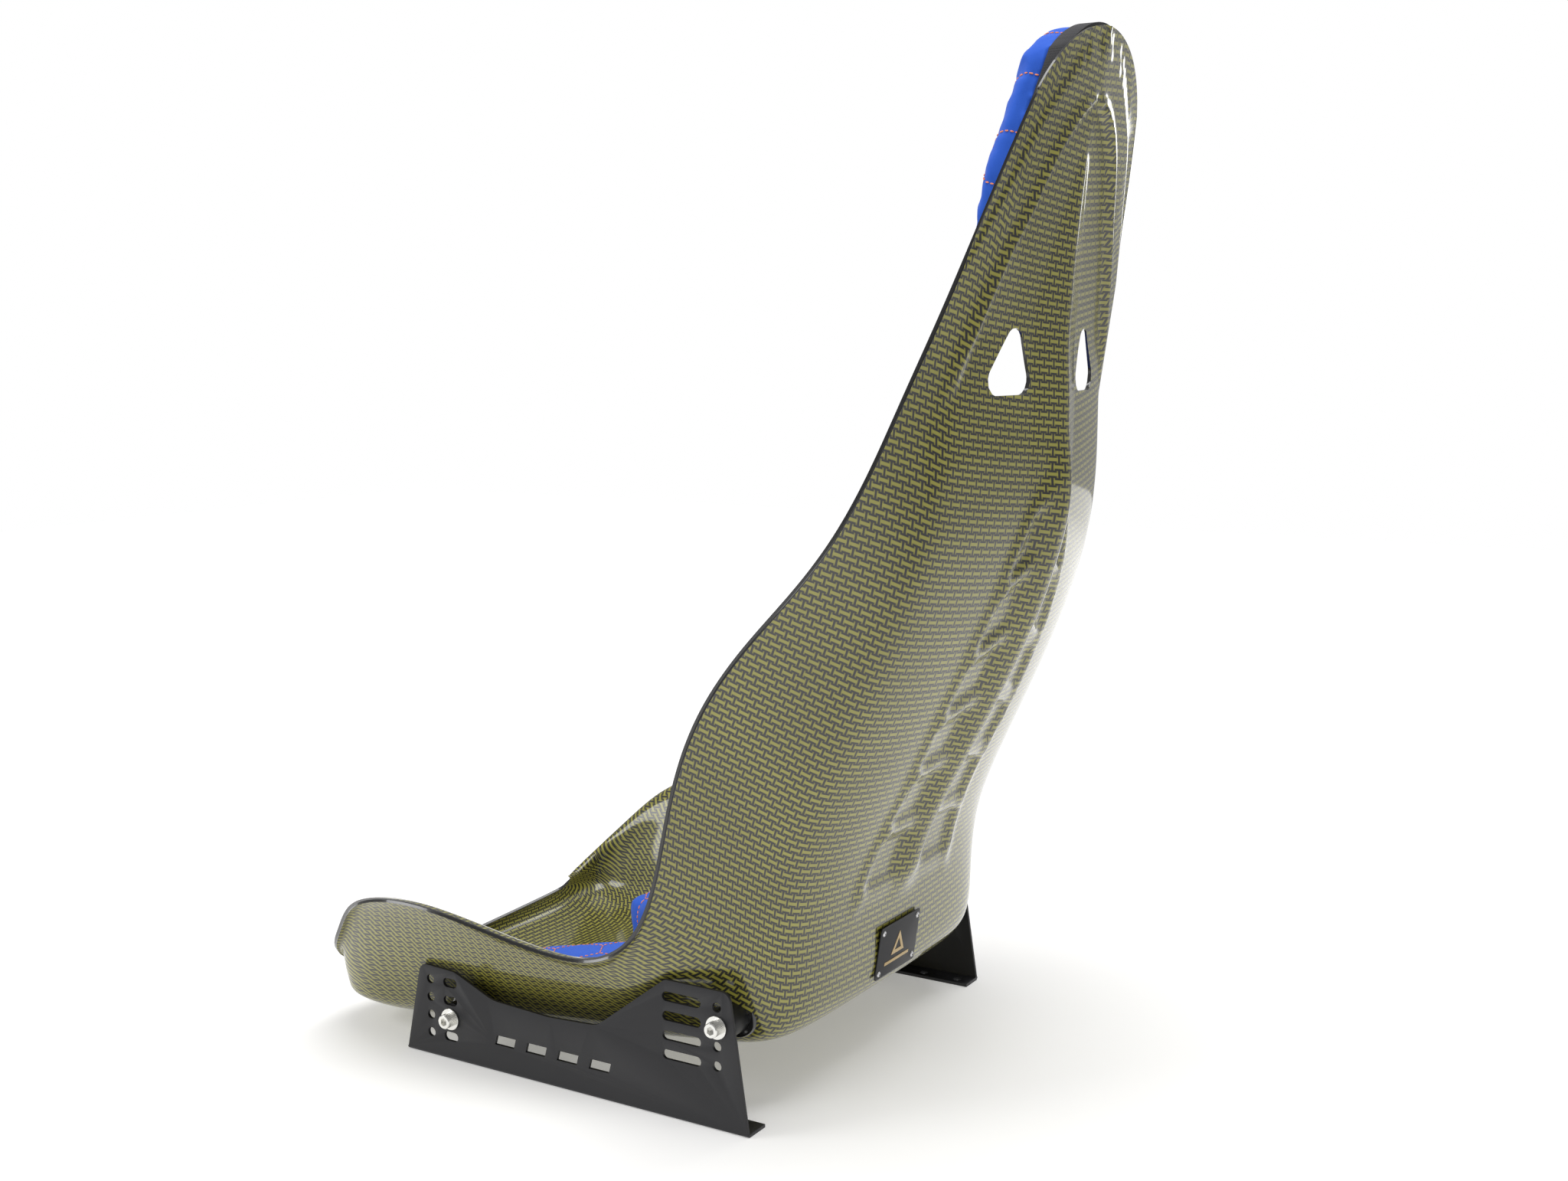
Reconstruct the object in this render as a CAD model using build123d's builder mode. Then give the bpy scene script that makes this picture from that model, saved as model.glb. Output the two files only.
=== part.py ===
from build123d import *
import os
import numpy as np

# Composite bucket racing seat on two side-mount brackets, with three lift-off pads.
# Frame: +X is the seat's left, the sitter faces -Y, +Z is up. The origin is the centre of the
# floor-bolt pattern, on the underside of the brackets. Millimetres throughout.

# ---------------------------------------------------------------- driving dimensions
SHELL_THICKNESS = 4.0
HOOK_THICKNESS = 1.3
GLUE_GAP = 0.15
PAD_GAP = 0.4
LOOP_THICKNESS = 1.3

BRACKET_LENGTH = 374.0
BRACKET_PLATE = 3.0
BRACKET_OUTER_X = 218.6
FLANGE_WIDTH = 26.0
FLANGE_HOLE_X = 202.0
FLANGE_HOLE_YS = (134.0, 172.0)
FLANGE_HOLE_RADIUS = 4.25
BEND_INNER_STEP = 0.2

PLATE_OUTLINE = (
    (-187.0, 0.0),
    (-168.8, 85.8),
    (-128.0, 84.0),
    (-84.0, 66.0),
    (-20.0, 63.0),
    (32.0, 66.0),
    (104.0, 120.8),
    (168.5, 120.8),
    (187.0, 0.0),
)
PLATE_CORNERS = (None, 9.0, 25.0, 40.0, 60.0, 20.0, 9.0, 9.0, None)

SIDE_HOLE_RADIUS = 4.25
SIDE_HOLE_PITCH = 16.9
SIDE_HOLE_ROWS = 4
FRONT_HOLE_Y = -156.9
FRONT_SLOT_Y = -133.6
FRONT_SLOT_LENGTH = 16.0
FRONT_LOWEST_ROW = 22.0
REAR_HOLE_Y = 156.4
REAR_SLOT_Y = 121.0
REAR_SLOT_LENGTH = 39.0
REAR_LOWEST_ROW = 55.8
WINDOW_Z = 30.0
WINDOW_YS = (-70.0, -35.0, 0.0, 35.0)
WINDOW_LENGTH = 24.0
WINDOW_HEIGHT = 9.0
WINDOW_SHEAR = 15.0

FRONT_BOLT = (FRONT_SLOT_Y, FRONT_LOWEST_ROW + SIDE_HOLE_PITCH)
REAR_BOLT = (REAR_HOLE_Y, REAR_LOWEST_ROW + 2 * SIDE_HOLE_PITCH)
BOLT_RADIUS = 4.0
BOLT_HEAD_RADIUS = 6.5
BOLT_HEAD_HEIGHT = 8.0
HEX_SOCKET_RADIUS = 3.46
HEX_SOCKET_DEPTH = 4.0
WASHER_RADIUS = 10.0
WASHER_THICKNESS = 2.0
SPACER_RADIUS = 13.5
BOSS_RADIUS = 19.0
FRONT_BOSS_DEPTH = 29.0
REAR_BOSS_DEPTH = 12.0
FRONT_BOSS_X = 197.0
REAR_BOSS_X = 190.0
SPOT_FACE_RADIUS = 14.0
SPOT_FACE_REACH = 20.0
INSERT_RADIUS = 7.0
INSERT_FLANGE_RADIUS = 9.0
INSERT_FLANGE_THICKNESS = 2.0

BELT_HOLE = ((42.0, 606.0), (120.0, 606.0), (68.0, 671.0))
BELT_HOLE_CORNER = 12.0
CROTCH_SLOT_WIDTH = 176.0
CROTCH_SLOT_LENGTH = 78.0
CROTCH_SLOT_CORNER = 30.0
CROTCH_SLOT_Y = -153.0
CROTCH_CUT_HEIGHT = 67.6
HEAD_TOP_Z = 897.0
HEAD_ARC_RADIUS = 122.0
HEAD_ARC_START_Z = 828.0

BADGE_WIDTH = 75.0
BADGE_HEIGHT = 50.0
BADGE_THICKNESS = 1.2
BADGE_CORNER = 2.5
BADGE_CENTRE = (0.0, 208.4, 106.0)
BADGE_TILT = 8.5
BADGE_RIVET_INSET = 5.5
RIVET_RADIUS = 2.6
RIVET_HEIGHT = 1.4
RIVET_HOLE_RADIUS = 1.0
EMBLEM_RADIUS = 14.0
EMBLEM_BAR = (46.0, 3.0)
EMBLEM_BAR_DROP = 13.0
EMBLEM_THICKNESS = 0.4

HEAD_PAD_BASE = 15.0
HEAD_PAD_CUSHION = 27.0
HEAD_PAD_TOP = (0.0, 812.0, 88.0)
HEAD_PAD_FEET = (58.0, 742.0, 29.0)
BACK_PAD_BASE = 3.0
BACK_PAD_CUSHION = 22.0
SEAT_PAD_BASE = 3.0
SEAT_PAD_CUSHION = 27.0
SEAT_PAD_LOBE_RISE = 16.0
SEAT_PAD_NOTCH = ((-35.0, -68.0), (35.0, -68.0), (118.0, -204.0), (-118.0, -204.0))
SEAT_PAD_NOTCH_CORNER = 14.0
# Each pad is a patch of the inner skin: a place range along the shell and one across it.
HEAD_PATCH = (np.linspace(0.885, 0.999, 25), np.linspace(-0.36, 0.36, 25))
BACK_PATCH = (np.linspace(0.475, 0.735, 41), np.linspace(-0.27, 0.27, 31))
SEAT_PATCH = (np.linspace(0.137, 0.305, 41), np.linspace(-0.235, 0.235, 41))
TAPE_PATCHES = {
    "head_pad": (np.linspace(0.92, 0.975, 9), np.linspace(-0.2, 0.2, 9)),
    "back_pad": (np.linspace(0.55, 0.66, 11), np.linspace(-0.16, 0.16, 9)),
    "seat_pad": (np.linspace(0.21, 0.28, 11), np.linspace(-0.16, 0.16, 9)),
}

TOOL_REACH = 1200.0

os.makedirs("parts", exist_ok=True)

# ---------------------------------------------------------------- lines of the shell
# Each station is one cross-section of the outer skin, from the front lip, along the pan, round
# the tail and up the back to the head. Its values are the centre line's y and z, the rim's x, y
# and z, the half-width of the flat floor, the half-width low on the wall, how far the section is
# straightened from a U towards a V, and how far the rim is rolled outwards.
STATIONS = (
    (-290, 37, 165, -292, 48, 115, 145, 0.50, 4),
    (-296, 19, 212, -291, 66, 150, 196, 0.10, 6),
    (-264, 8, 231, -254, 105, 158, 204, 0.00, 12),
    (-215, 4, 259, -214, 150, 158, 193, 0.00, 16),
    (-140, 14, 265, -132, 161, 160, 190, 0.00, 16),
    (-55, 28, 254, -48, 140, 162, 189, 0.00, 14),
    (45, 41, 240, 26, 123, 166, 187, 0.00, 12),
    (130, 51, 236, 70, 138, 170, 187, 0.00, 8),
    (184, 57, 237, 97, 168, 174, 187, 0.00, 4),
    (207, 80, 238, 113, 212, 164, 186, 0.00, 2),
    (209, 130, 240, 124, 262, 147, 183, 0.00, 1),
    (216, 190, 241, 140, 318, 130, 185, 0.00, 1),
    (243, 250, 241, 164, 366, 118, 188, 0.00, 1),
    (279, 315, 240, 200, 412, 105, 186, 0.05, 1),
    (315, 385, 235, 242, 456, 95, 180, 0.15, 1),
    (343, 450, 227, 275, 500, 85, 170, 0.30, 1),
    (358, 520, 214, 299, 552, 80, 158, 0.50, 1),
    (359, 590, 195, 315, 606, 80, 145, 0.70, 1),
    (359, 655, 172, 332, 662, 75, 130, 0.80, 1),
    (365, 720, 150, 350, 724, 70, 115, 0.80, 1),
    (377, 790, 126, 369, 792, 60, 98, 0.80, 1),
    (387, 845, 102, 384, 846, 50, 78, 0.80, 1),
    (400, 910, 72, 398, 910, 36, 55, 0.80, 1),
)
WALL_RISES = (0.14, 0.35, 0.68)
FLARE_SHARES = (0.0, 0.15, 0.50)
SPLINE_DEGREE = 3


def spline(points, where):
    """Points at `where` (0 to 1) on the clamped uniform cubic spline that `points` hold."""
    points = np.asarray(points, dtype=float)
    inner = np.linspace(0, 1, len(points) - SPLINE_DEGREE + 1)
    knots = np.concatenate([np.zeros(SPLINE_DEGREE), inner, np.ones(SPLINE_DEGREE)])
    where = np.clip(np.asarray(where, dtype=float), 0, 1 - 1e-9)[:, None]
    weights = ((knots[:-1] <= where) & (where < knots[1:])).astype(float)
    for degree in range(1, SPLINE_DEGREE + 1):
        rise = knots[degree:-1] - knots[:-degree - 1]
        fall = knots[degree + 1:] - knots[1:-degree]
        rise_share = np.where(rise > 0, (where - knots[:-degree - 1]) / np.maximum(rise, 1e-9), 0)
        fall_share = np.where(fall > 0, (knots[degree + 1:] - where) / np.maximum(fall, 1e-9), 0)
        weights = rise_share * weights[:, :-1] + fall_share * weights[:, 1:]
    return weights @ points


def cross_section(station, across):
    """Points of one station's section at `across`, from -1 at the right rim to 1 at the left."""
    centre_y, centre_z, rim_x, rim_y, rim_z, floor, wall, roof, roll = station
    height = np.hypot(rim_y - centre_y, rim_z - centre_z)
    up_y, up_z = (rim_y - centre_y) / height, (rim_z - centre_z) / height
    walls = [wall + share * (rim_x - wall) for share in FLARE_SHARES]
    widths = np.array([0, floor / 2, floor, *walls, rim_x - roll, rim_x])
    rises = height * np.array([0, 0, 0, *WALL_RISES, 1, 1])
    rises = (1 - roof) * rises + roof * height * widths / rim_x
    half = spline(np.stack([widths, rises], axis=1), np.abs(across))
    return np.stack([half[:, 0] * np.sign(across), centre_y + up_y * half[:, 1],
                     centre_z + up_z * half[:, 1]], axis=1)


def skin(along, across, depth):
    """Grid of points `depth` inside the outer skin, a number or one for each grid point."""
    step = 1e-4

    def outer(a, b):
        return np.stack([cross_section(row, b) for row in spline(STATIONS, a)])

    grid = outer(along, across)
    down = outer(np.clip(along + step, 0, 1), across) - outer(np.clip(along - step, 0, 1), across)
    side = outer(along, across + step) - outer(along, across - step)
    normal = np.cross(side, down)
    normal /= np.linalg.norm(normal, axis=2, keepdims=True)
    return grid + np.broadcast_to(depth, grid.shape[:2])[..., None] * normal


def strip_between(front, back):
    """Ruled faces that join the edges of two four-sided faces, edge by nearest edge."""
    strips = []
    for edge in front.edges():
        nearest = min(back.edges(), key=lambda other: (other @ 0.5 - edge @ 0.5).length)
        strips.append(Face.make_surface_from_curves(edge, nearest))
    return strips


def slab(along, across, outer_depth, inner_depth):
    """Closed solid between two depths inside the outer skin, over a patch of it."""
    faces = []
    for depth in (outer_depth, inner_depth):
        rows = [[tuple(map(float, point)) for point in row] for row in skin(along, across, depth)]
        faces.append(Face.make_surface_from_array_of_points(rows, tol=0.02, min_deg=3, max_deg=5))
    return Solid(Shell([*faces, *strip_between(*faces)]))


# ---------------------------------------------------------------- shell
BOLT_PLACES = {
    "front": (FRONT_BOLT, FRONT_BOSS_X, FRONT_BOSS_DEPTH),
    "rear": (REAR_BOLT, REAR_BOSS_X, REAR_BOSS_DEPTH),
}
SIDES = {"left": 1, "right": -1}


def outward_plane(side, x, place):
    """Plane at one side's x, facing outwards, centred on a bolt's y and z."""
    return Plane(origin=(side * x, *place), x_dir=(0, 1, 0), z_dir=(side, 0, 0))


def all_bolt_places(end):
    """The left and right (side, place, boss x, boss depth) of the bolts at one end."""
    return [(side, *BOLT_PLACES[end]) for side in SIDES.values()]


with BuildPart() as shell:
    add(slab(np.linspace(0, 1, 121), np.linspace(-1, 1, 61), 0.0, SHELL_THICKNESS))
    with BuildSketch(Plane.XZ):
        with Locations((0, (HEAD_ARC_START_Z + TOOL_REACH) / 2)):
            Rectangle(TOOL_REACH, TOOL_REACH - HEAD_ARC_START_Z)
        with Locations((0, HEAD_TOP_Z - HEAD_ARC_RADIUS)):
            Circle(HEAD_ARC_RADIUS, mode=Mode.SUBTRACT)
    extrude(amount=TOOL_REACH, both=True, mode=Mode.SUBTRACT)
    with BuildSketch(Plane.XZ):
        for side in SIDES.values():
            with BuildSketch(Plane.XZ, mode=Mode.PRIVATE) as belt_hole:
                with BuildLine():
                    Polyline(*[(side * x, z) for x, z in BELT_HOLE], close=True)
                make_face()
                fillet(belt_hole.vertices(), BELT_HOLE_CORNER)
            add(belt_hole.sketch)
    extrude(amount=TOOL_REACH, both=True, mode=Mode.SUBTRACT)
    with BuildSketch(Plane.XY):
        with Locations((0, CROTCH_SLOT_Y)):
            RectangleRounded(CROTCH_SLOT_WIDTH, CROTCH_SLOT_LENGTH, CROTCH_SLOT_CORNER)
    extrude(amount=CROTCH_CUT_HEIGHT, mode=Mode.SUBTRACT)
    for side, place, boss_x, boss_depth in all_bolt_places("front") + all_bolt_places("rear"):
        with BuildSketch(outward_plane(side, boss_x, place)):
            Circle(BOSS_RADIUS)
        extrude(amount=-boss_depth)
        with BuildSketch(outward_plane(side, boss_x, place)):
            Circle(SPOT_FACE_RADIUS)
        extrude(amount=SPOT_FACE_REACH, mode=Mode.SUBTRACT)
        with BuildSketch(outward_plane(side, boss_x, place)):
            Circle(INSERT_RADIUS)
        extrude(amount=-boss_depth, mode=Mode.SUBTRACT)
shell.part.label = "shell"
export_step(shell.part, "parts/shell.step")

# ---------------------------------------------------------------- threaded inserts
for end in BOLT_PLACES:
    with BuildPart() as inserts:
        for side, place, boss_x, boss_depth in all_bolt_places(end):
            with BuildSketch(outward_plane(side, boss_x, place)):
                Circle(INSERT_RADIUS)
            extrude(amount=-boss_depth)
            with BuildSketch(outward_plane(side, boss_x - boss_depth, place)):
                Circle(INSERT_FLANGE_RADIUS)
            extrude(amount=-INSERT_FLANGE_THICKNESS)
            with BuildSketch(outward_plane(side, boss_x, place)):
                Circle(BOLT_RADIUS)
            extrude(amount=-boss_depth - INSERT_FLANGE_THICKNESS, mode=Mode.SUBTRACT)
    inserts.part.label = f"{end}_inserts"
    export_step(inserts.part, f"parts/{end}_inserts.step")

# ---------------------------------------------------------------- brackets
with BuildPart() as left_bracket:
    with BuildSketch(Plane(origin=(BRACKET_OUTER_X, 0, 0), x_dir=(0, 1, 0), z_dir=(1, 0, 0))) as plate:
        with BuildLine():
            Polyline(*PLATE_OUTLINE, close=True)
        make_face()
        for corner, radius in zip(PLATE_OUTLINE, PLATE_CORNERS):
            if radius:
                fillet(plate.vertices().sort_by_distance((*corner, 0))[0], radius)
        for row in range(SIDE_HOLE_ROWS):
            front_z = FRONT_LOWEST_ROW + row * SIDE_HOLE_PITCH
            rear_z = REAR_LOWEST_ROW + row * SIDE_HOLE_PITCH
            with Locations((FRONT_HOLE_Y, front_z), (REAR_HOLE_Y, rear_z)):
                Circle(SIDE_HOLE_RADIUS, mode=Mode.SUBTRACT)
            with Locations((FRONT_SLOT_Y, front_z)):
                SlotOverall(FRONT_SLOT_LENGTH, 2 * SIDE_HOLE_RADIUS, mode=Mode.SUBTRACT)
            with Locations((REAR_SLOT_Y, rear_z)):
                SlotOverall(REAR_SLOT_LENGTH, 2 * SIDE_HOLE_RADIUS, mode=Mode.SUBTRACT)
        with Locations(*[(y, WINDOW_Z) for y in WINDOW_YS]):
            Trapezoid(WINDOW_LENGTH, WINDOW_HEIGHT, 90 - WINDOW_SHEAR, 90 + WINDOW_SHEAR, mode=Mode.SUBTRACT)
    extrude(amount=-BRACKET_PLATE)
    with BuildSketch(Plane.XY):
        with Locations((BRACKET_OUTER_X - FLANGE_WIDTH / 2, 0)):
            Rectangle(FLANGE_WIDTH, BRACKET_LENGTH)
        with Locations(*[(FLANGE_HOLE_X, end * y) for y in FLANGE_HOLE_YS for end in (-1, 1)]):
            Circle(FLANGE_HOLE_RADIUS, mode=Mode.SUBTRACT)
    extrude(amount=BRACKET_PLATE)
    bend = left_bracket.edges().filter_by(Axis.Y).group_by(Axis.Z)[0].sort_by(Axis.X)[-1]
    fillet(bend, BRACKET_PLATE - BEND_INNER_STEP)
left_bracket.part.label = "left_bracket"
export_step(left_bracket.part, "parts/left_bracket.step")

with BuildPart() as right_bracket:
    mirror(left_bracket.part, about=Plane.YZ)
right_bracket.part.label = "right_bracket"
export_step(right_bracket.part, "parts/right_bracket.step")

# ---------------------------------------------------------------- bolts, washers and spacers
PLATE_INNER_X = BRACKET_OUTER_X - BRACKET_PLATE
for end in BOLT_PLACES:
    with BuildPart() as bolts:
        for side, place, boss_x, boss_depth in all_bolt_places(end):
            under_head = BRACKET_OUTER_X + WASHER_THICKNESS
            with BuildSketch(outward_plane(side, under_head, place)):
                Circle(BOLT_RADIUS)
            extrude(amount=boss_x - boss_depth - INSERT_FLANGE_THICKNESS - under_head)
            with BuildSketch(outward_plane(side, under_head, place)):
                Circle(BOLT_HEAD_RADIUS)
            extrude(amount=BOLT_HEAD_HEIGHT)
            with BuildSketch(outward_plane(side, under_head + BOLT_HEAD_HEIGHT, place)):
                RegularPolygon(HEX_SOCKET_RADIUS, 6)
            extrude(amount=-HEX_SOCKET_DEPTH, mode=Mode.SUBTRACT)
    bolts.part.label = f"{end}_bolts"
    export_step(bolts.part, f"parts/{end}_bolts.step")

    with BuildPart() as washers:
        for side, place, boss_x, boss_depth in all_bolt_places(end):
            with BuildSketch(outward_plane(side, BRACKET_OUTER_X, place)):
                Circle(WASHER_RADIUS)
                Circle(SIDE_HOLE_RADIUS, mode=Mode.SUBTRACT)
            extrude(amount=WASHER_THICKNESS)
    washers.part.label = f"{end}_washers"
    export_step(washers.part, f"parts/{end}_washers.step")

    for name, side in SIDES.items():
        place, boss_x, boss_depth = BOLT_PLACES[end]
        with BuildPart() as spacer:
            with BuildSketch(outward_plane(side, boss_x, place)):
                Circle(SPACER_RADIUS)
                Circle(SIDE_HOLE_RADIUS, mode=Mode.SUBTRACT)
            extrude(amount=PLATE_INNER_X - boss_x)
        spacer.part.label = f"{end}_{name}_spacer"
        export_step(spacer.part, f"parts/{end}_{name}_spacer.step")

# ---------------------------------------------------------------- badge
badge_face = Plane(origin=BADGE_CENTRE, x_dir=(-1, 0, 0), z_dir=(0, 1, 0)).rotated((-BADGE_TILT, 0, 0))
rivet_spacing = (BADGE_WIDTH - 2 * BADGE_RIVET_INSET, BADGE_HEIGHT - 2 * BADGE_RIVET_INSET)
with BuildPart() as badge_plate:
    with BuildSketch(badge_face):
        RectangleRounded(BADGE_WIDTH, BADGE_HEIGHT, BADGE_CORNER)
    extrude(amount=BADGE_THICKNESS)
badge_plate.part.label = "badge_plate"
export_step(badge_plate.part, "parts/badge_plate.step")

with BuildPart() as badge_rivets:
    with BuildSketch(badge_face.offset(BADGE_THICKNESS)):
        with GridLocations(*rivet_spacing, 2, 2):
            Circle(RIVET_RADIUS)
            Circle(RIVET_HOLE_RADIUS, mode=Mode.SUBTRACT)
    extrude(amount=RIVET_HEIGHT)
badge_rivets.part.label = "badge_rivets"
export_step(badge_rivets.part, "parts/badge_rivets.step")

with BuildPart() as badge_emblem:
    with BuildSketch(badge_face.offset(BADGE_THICKNESS)):
        RegularPolygon(EMBLEM_RADIUS, 3, rotation=90)
        RegularPolygon(EMBLEM_RADIUS / 2, 3, rotation=90, mode=Mode.SUBTRACT)
        with Locations((0, -EMBLEM_BAR_DROP)):
            Rectangle(*EMBLEM_BAR)
    extrude(amount=EMBLEM_THICKNESS)
badge_emblem.part.label = "badge_emblem"
export_step(badge_emblem.part, "parts/badge_emblem.step")

# ---------------------------------------------------------------- pads
HOOK_BACK = SHELL_THICKNESS + GLUE_GAP
LOOP_BACK = HOOK_BACK + HOOK_THICKNESS + PAD_GAP
PAD_BACK = LOOP_BACK + LOOP_THICKNESS + GLUE_GAP

for pad, patch in TAPE_PATCHES.items():
    with BuildPart() as hook_tape:
        add(slab(*patch, HOOK_BACK, HOOK_BACK + HOOK_THICKNESS))
    hook_tape.part.label = f"{pad}_hook_tape"
    export_step(hook_tape.part, f"parts/{pad}_hook_tape.step")

    with BuildPart() as loop_tape:
        add(slab(*patch, LOOP_BACK, LOOP_BACK + LOOP_THICKNESS))
    loop_tape.part.label = f"{pad}_loop_tape"
    export_step(loop_tape.part, f"parts/{pad}_loop_tape.step")

with BuildSketch(Plane.XZ) as head_pad_outline:
    with Locations(HEAD_PAD_TOP[:2]):
        Circle(HEAD_PAD_TOP[2])
    with Locations(*[(side * HEAD_PAD_FEET[0], HEAD_PAD_FEET[1]) for side in SIDES.values()]):
        Circle(HEAD_PAD_FEET[2])
    make_hull()
head_base_front = PAD_BACK + HEAD_PAD_BASE
for name, back, front in (
    ("head_pad_base", PAD_BACK, head_base_front),
    ("head_pad_cushion", head_base_front, head_base_front + HEAD_PAD_CUSHION),
):
    with BuildPart() as head_layer:
        add(slab(*HEAD_PATCH, back, front))
        extrude(head_pad_outline.sketch, amount=TOOL_REACH, both=True, mode=Mode.INTERSECT)
    head_layer.part.label = name
    export_step(head_layer.part, f"parts/{name}.step")

back_base_front = PAD_BACK + BACK_PAD_BASE
for name, back, front in (
    ("back_pad_base", PAD_BACK, back_base_front),
    ("back_pad_cushion", back_base_front, back_base_front + BACK_PAD_CUSHION),
):
    with BuildPart() as back_layer:
        add(slab(*BACK_PATCH, back, front))
    back_layer.part.label = name
    export_step(back_layer.part, f"parts/{name}.step")

with BuildSketch(Plane.XY) as seat_pad_notch:
    with BuildLine():
        Polyline(*SEAT_PAD_NOTCH, close=True)
    make_face()
    fillet(seat_pad_notch.vertices().group_by(Axis.Y)[-1], SEAT_PAD_NOTCH_CORNER)
seat_base_front = PAD_BACK + SEAT_PAD_BASE
forward = 1 - (SEAT_PATCH[0] - SEAT_PATCH[0][0]) / np.ptp(SEAT_PATCH[0])
seat_crown = SEAT_PAD_CUSHION + SEAT_PAD_LOBE_RISE * np.outer(forward, np.ones(len(SEAT_PATCH[1])))
for name, back, front in (
    ("seat_pad_base", PAD_BACK, seat_base_front),
    ("seat_pad_cushion", seat_base_front, seat_base_front + seat_crown),
):
    with BuildPart() as seat_layer:
        add(slab(*SEAT_PATCH, back, front))
        extrude(seat_pad_notch.sketch, amount=TOOL_REACH, both=True, mode=Mode.SUBTRACT)
    seat_layer.part.label = name
    export_step(seat_layer.part, f"parts/{name}.step")
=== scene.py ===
"""Composite bucket racing seat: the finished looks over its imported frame."""

import logging
import math
from contextlib import contextmanager
from dataclasses import dataclass, field
from enum import Enum
from typing import Iterator, Optional, Sequence, Union

import bmesh
import bpy
import numpy as np
from mathutils import Matrix, Vector
from mathutils.bvhtree import BVHTree

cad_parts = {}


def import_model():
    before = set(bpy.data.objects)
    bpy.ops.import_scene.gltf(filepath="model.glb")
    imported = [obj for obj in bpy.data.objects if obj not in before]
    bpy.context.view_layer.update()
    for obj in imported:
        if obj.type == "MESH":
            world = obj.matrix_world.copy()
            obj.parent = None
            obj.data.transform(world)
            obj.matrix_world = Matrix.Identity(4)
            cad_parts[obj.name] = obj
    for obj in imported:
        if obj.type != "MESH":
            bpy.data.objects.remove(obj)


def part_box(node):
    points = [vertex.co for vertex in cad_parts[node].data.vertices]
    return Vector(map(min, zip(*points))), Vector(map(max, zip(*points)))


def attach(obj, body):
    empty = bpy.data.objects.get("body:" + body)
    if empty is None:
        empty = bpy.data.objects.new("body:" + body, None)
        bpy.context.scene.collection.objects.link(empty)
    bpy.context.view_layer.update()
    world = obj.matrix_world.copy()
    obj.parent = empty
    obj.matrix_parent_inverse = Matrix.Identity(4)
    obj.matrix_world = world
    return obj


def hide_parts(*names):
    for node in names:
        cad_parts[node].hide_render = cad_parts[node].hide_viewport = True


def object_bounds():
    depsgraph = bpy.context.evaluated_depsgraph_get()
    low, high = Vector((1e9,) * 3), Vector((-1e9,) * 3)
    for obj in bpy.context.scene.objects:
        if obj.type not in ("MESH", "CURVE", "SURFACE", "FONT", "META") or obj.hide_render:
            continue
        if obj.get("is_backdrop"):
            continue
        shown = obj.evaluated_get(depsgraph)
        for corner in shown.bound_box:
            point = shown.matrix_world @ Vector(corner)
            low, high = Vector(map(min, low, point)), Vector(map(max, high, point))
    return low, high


LOG = logging.getLogger("racing_seat")
MM = 0.001
MERGE = 1e-6
Colour = tuple[float, float, float]


class Body(Enum):
    """The bodies that pieces ride on."""

    FRAME = "frame"
    HEAD_PAD = "head_pad"
    BACK_PAD = "back_pad"
    SEAT_PAD = "seat_pad"


class Side(Enum):
    """Left and right of the seat, by the sign of X."""

    LEFT = 1
    RIGHT = -1


# ---------------------------------------------------------------- node and mesh helpers
Socket = Union[bpy.types.NodeSocket, float]


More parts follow.
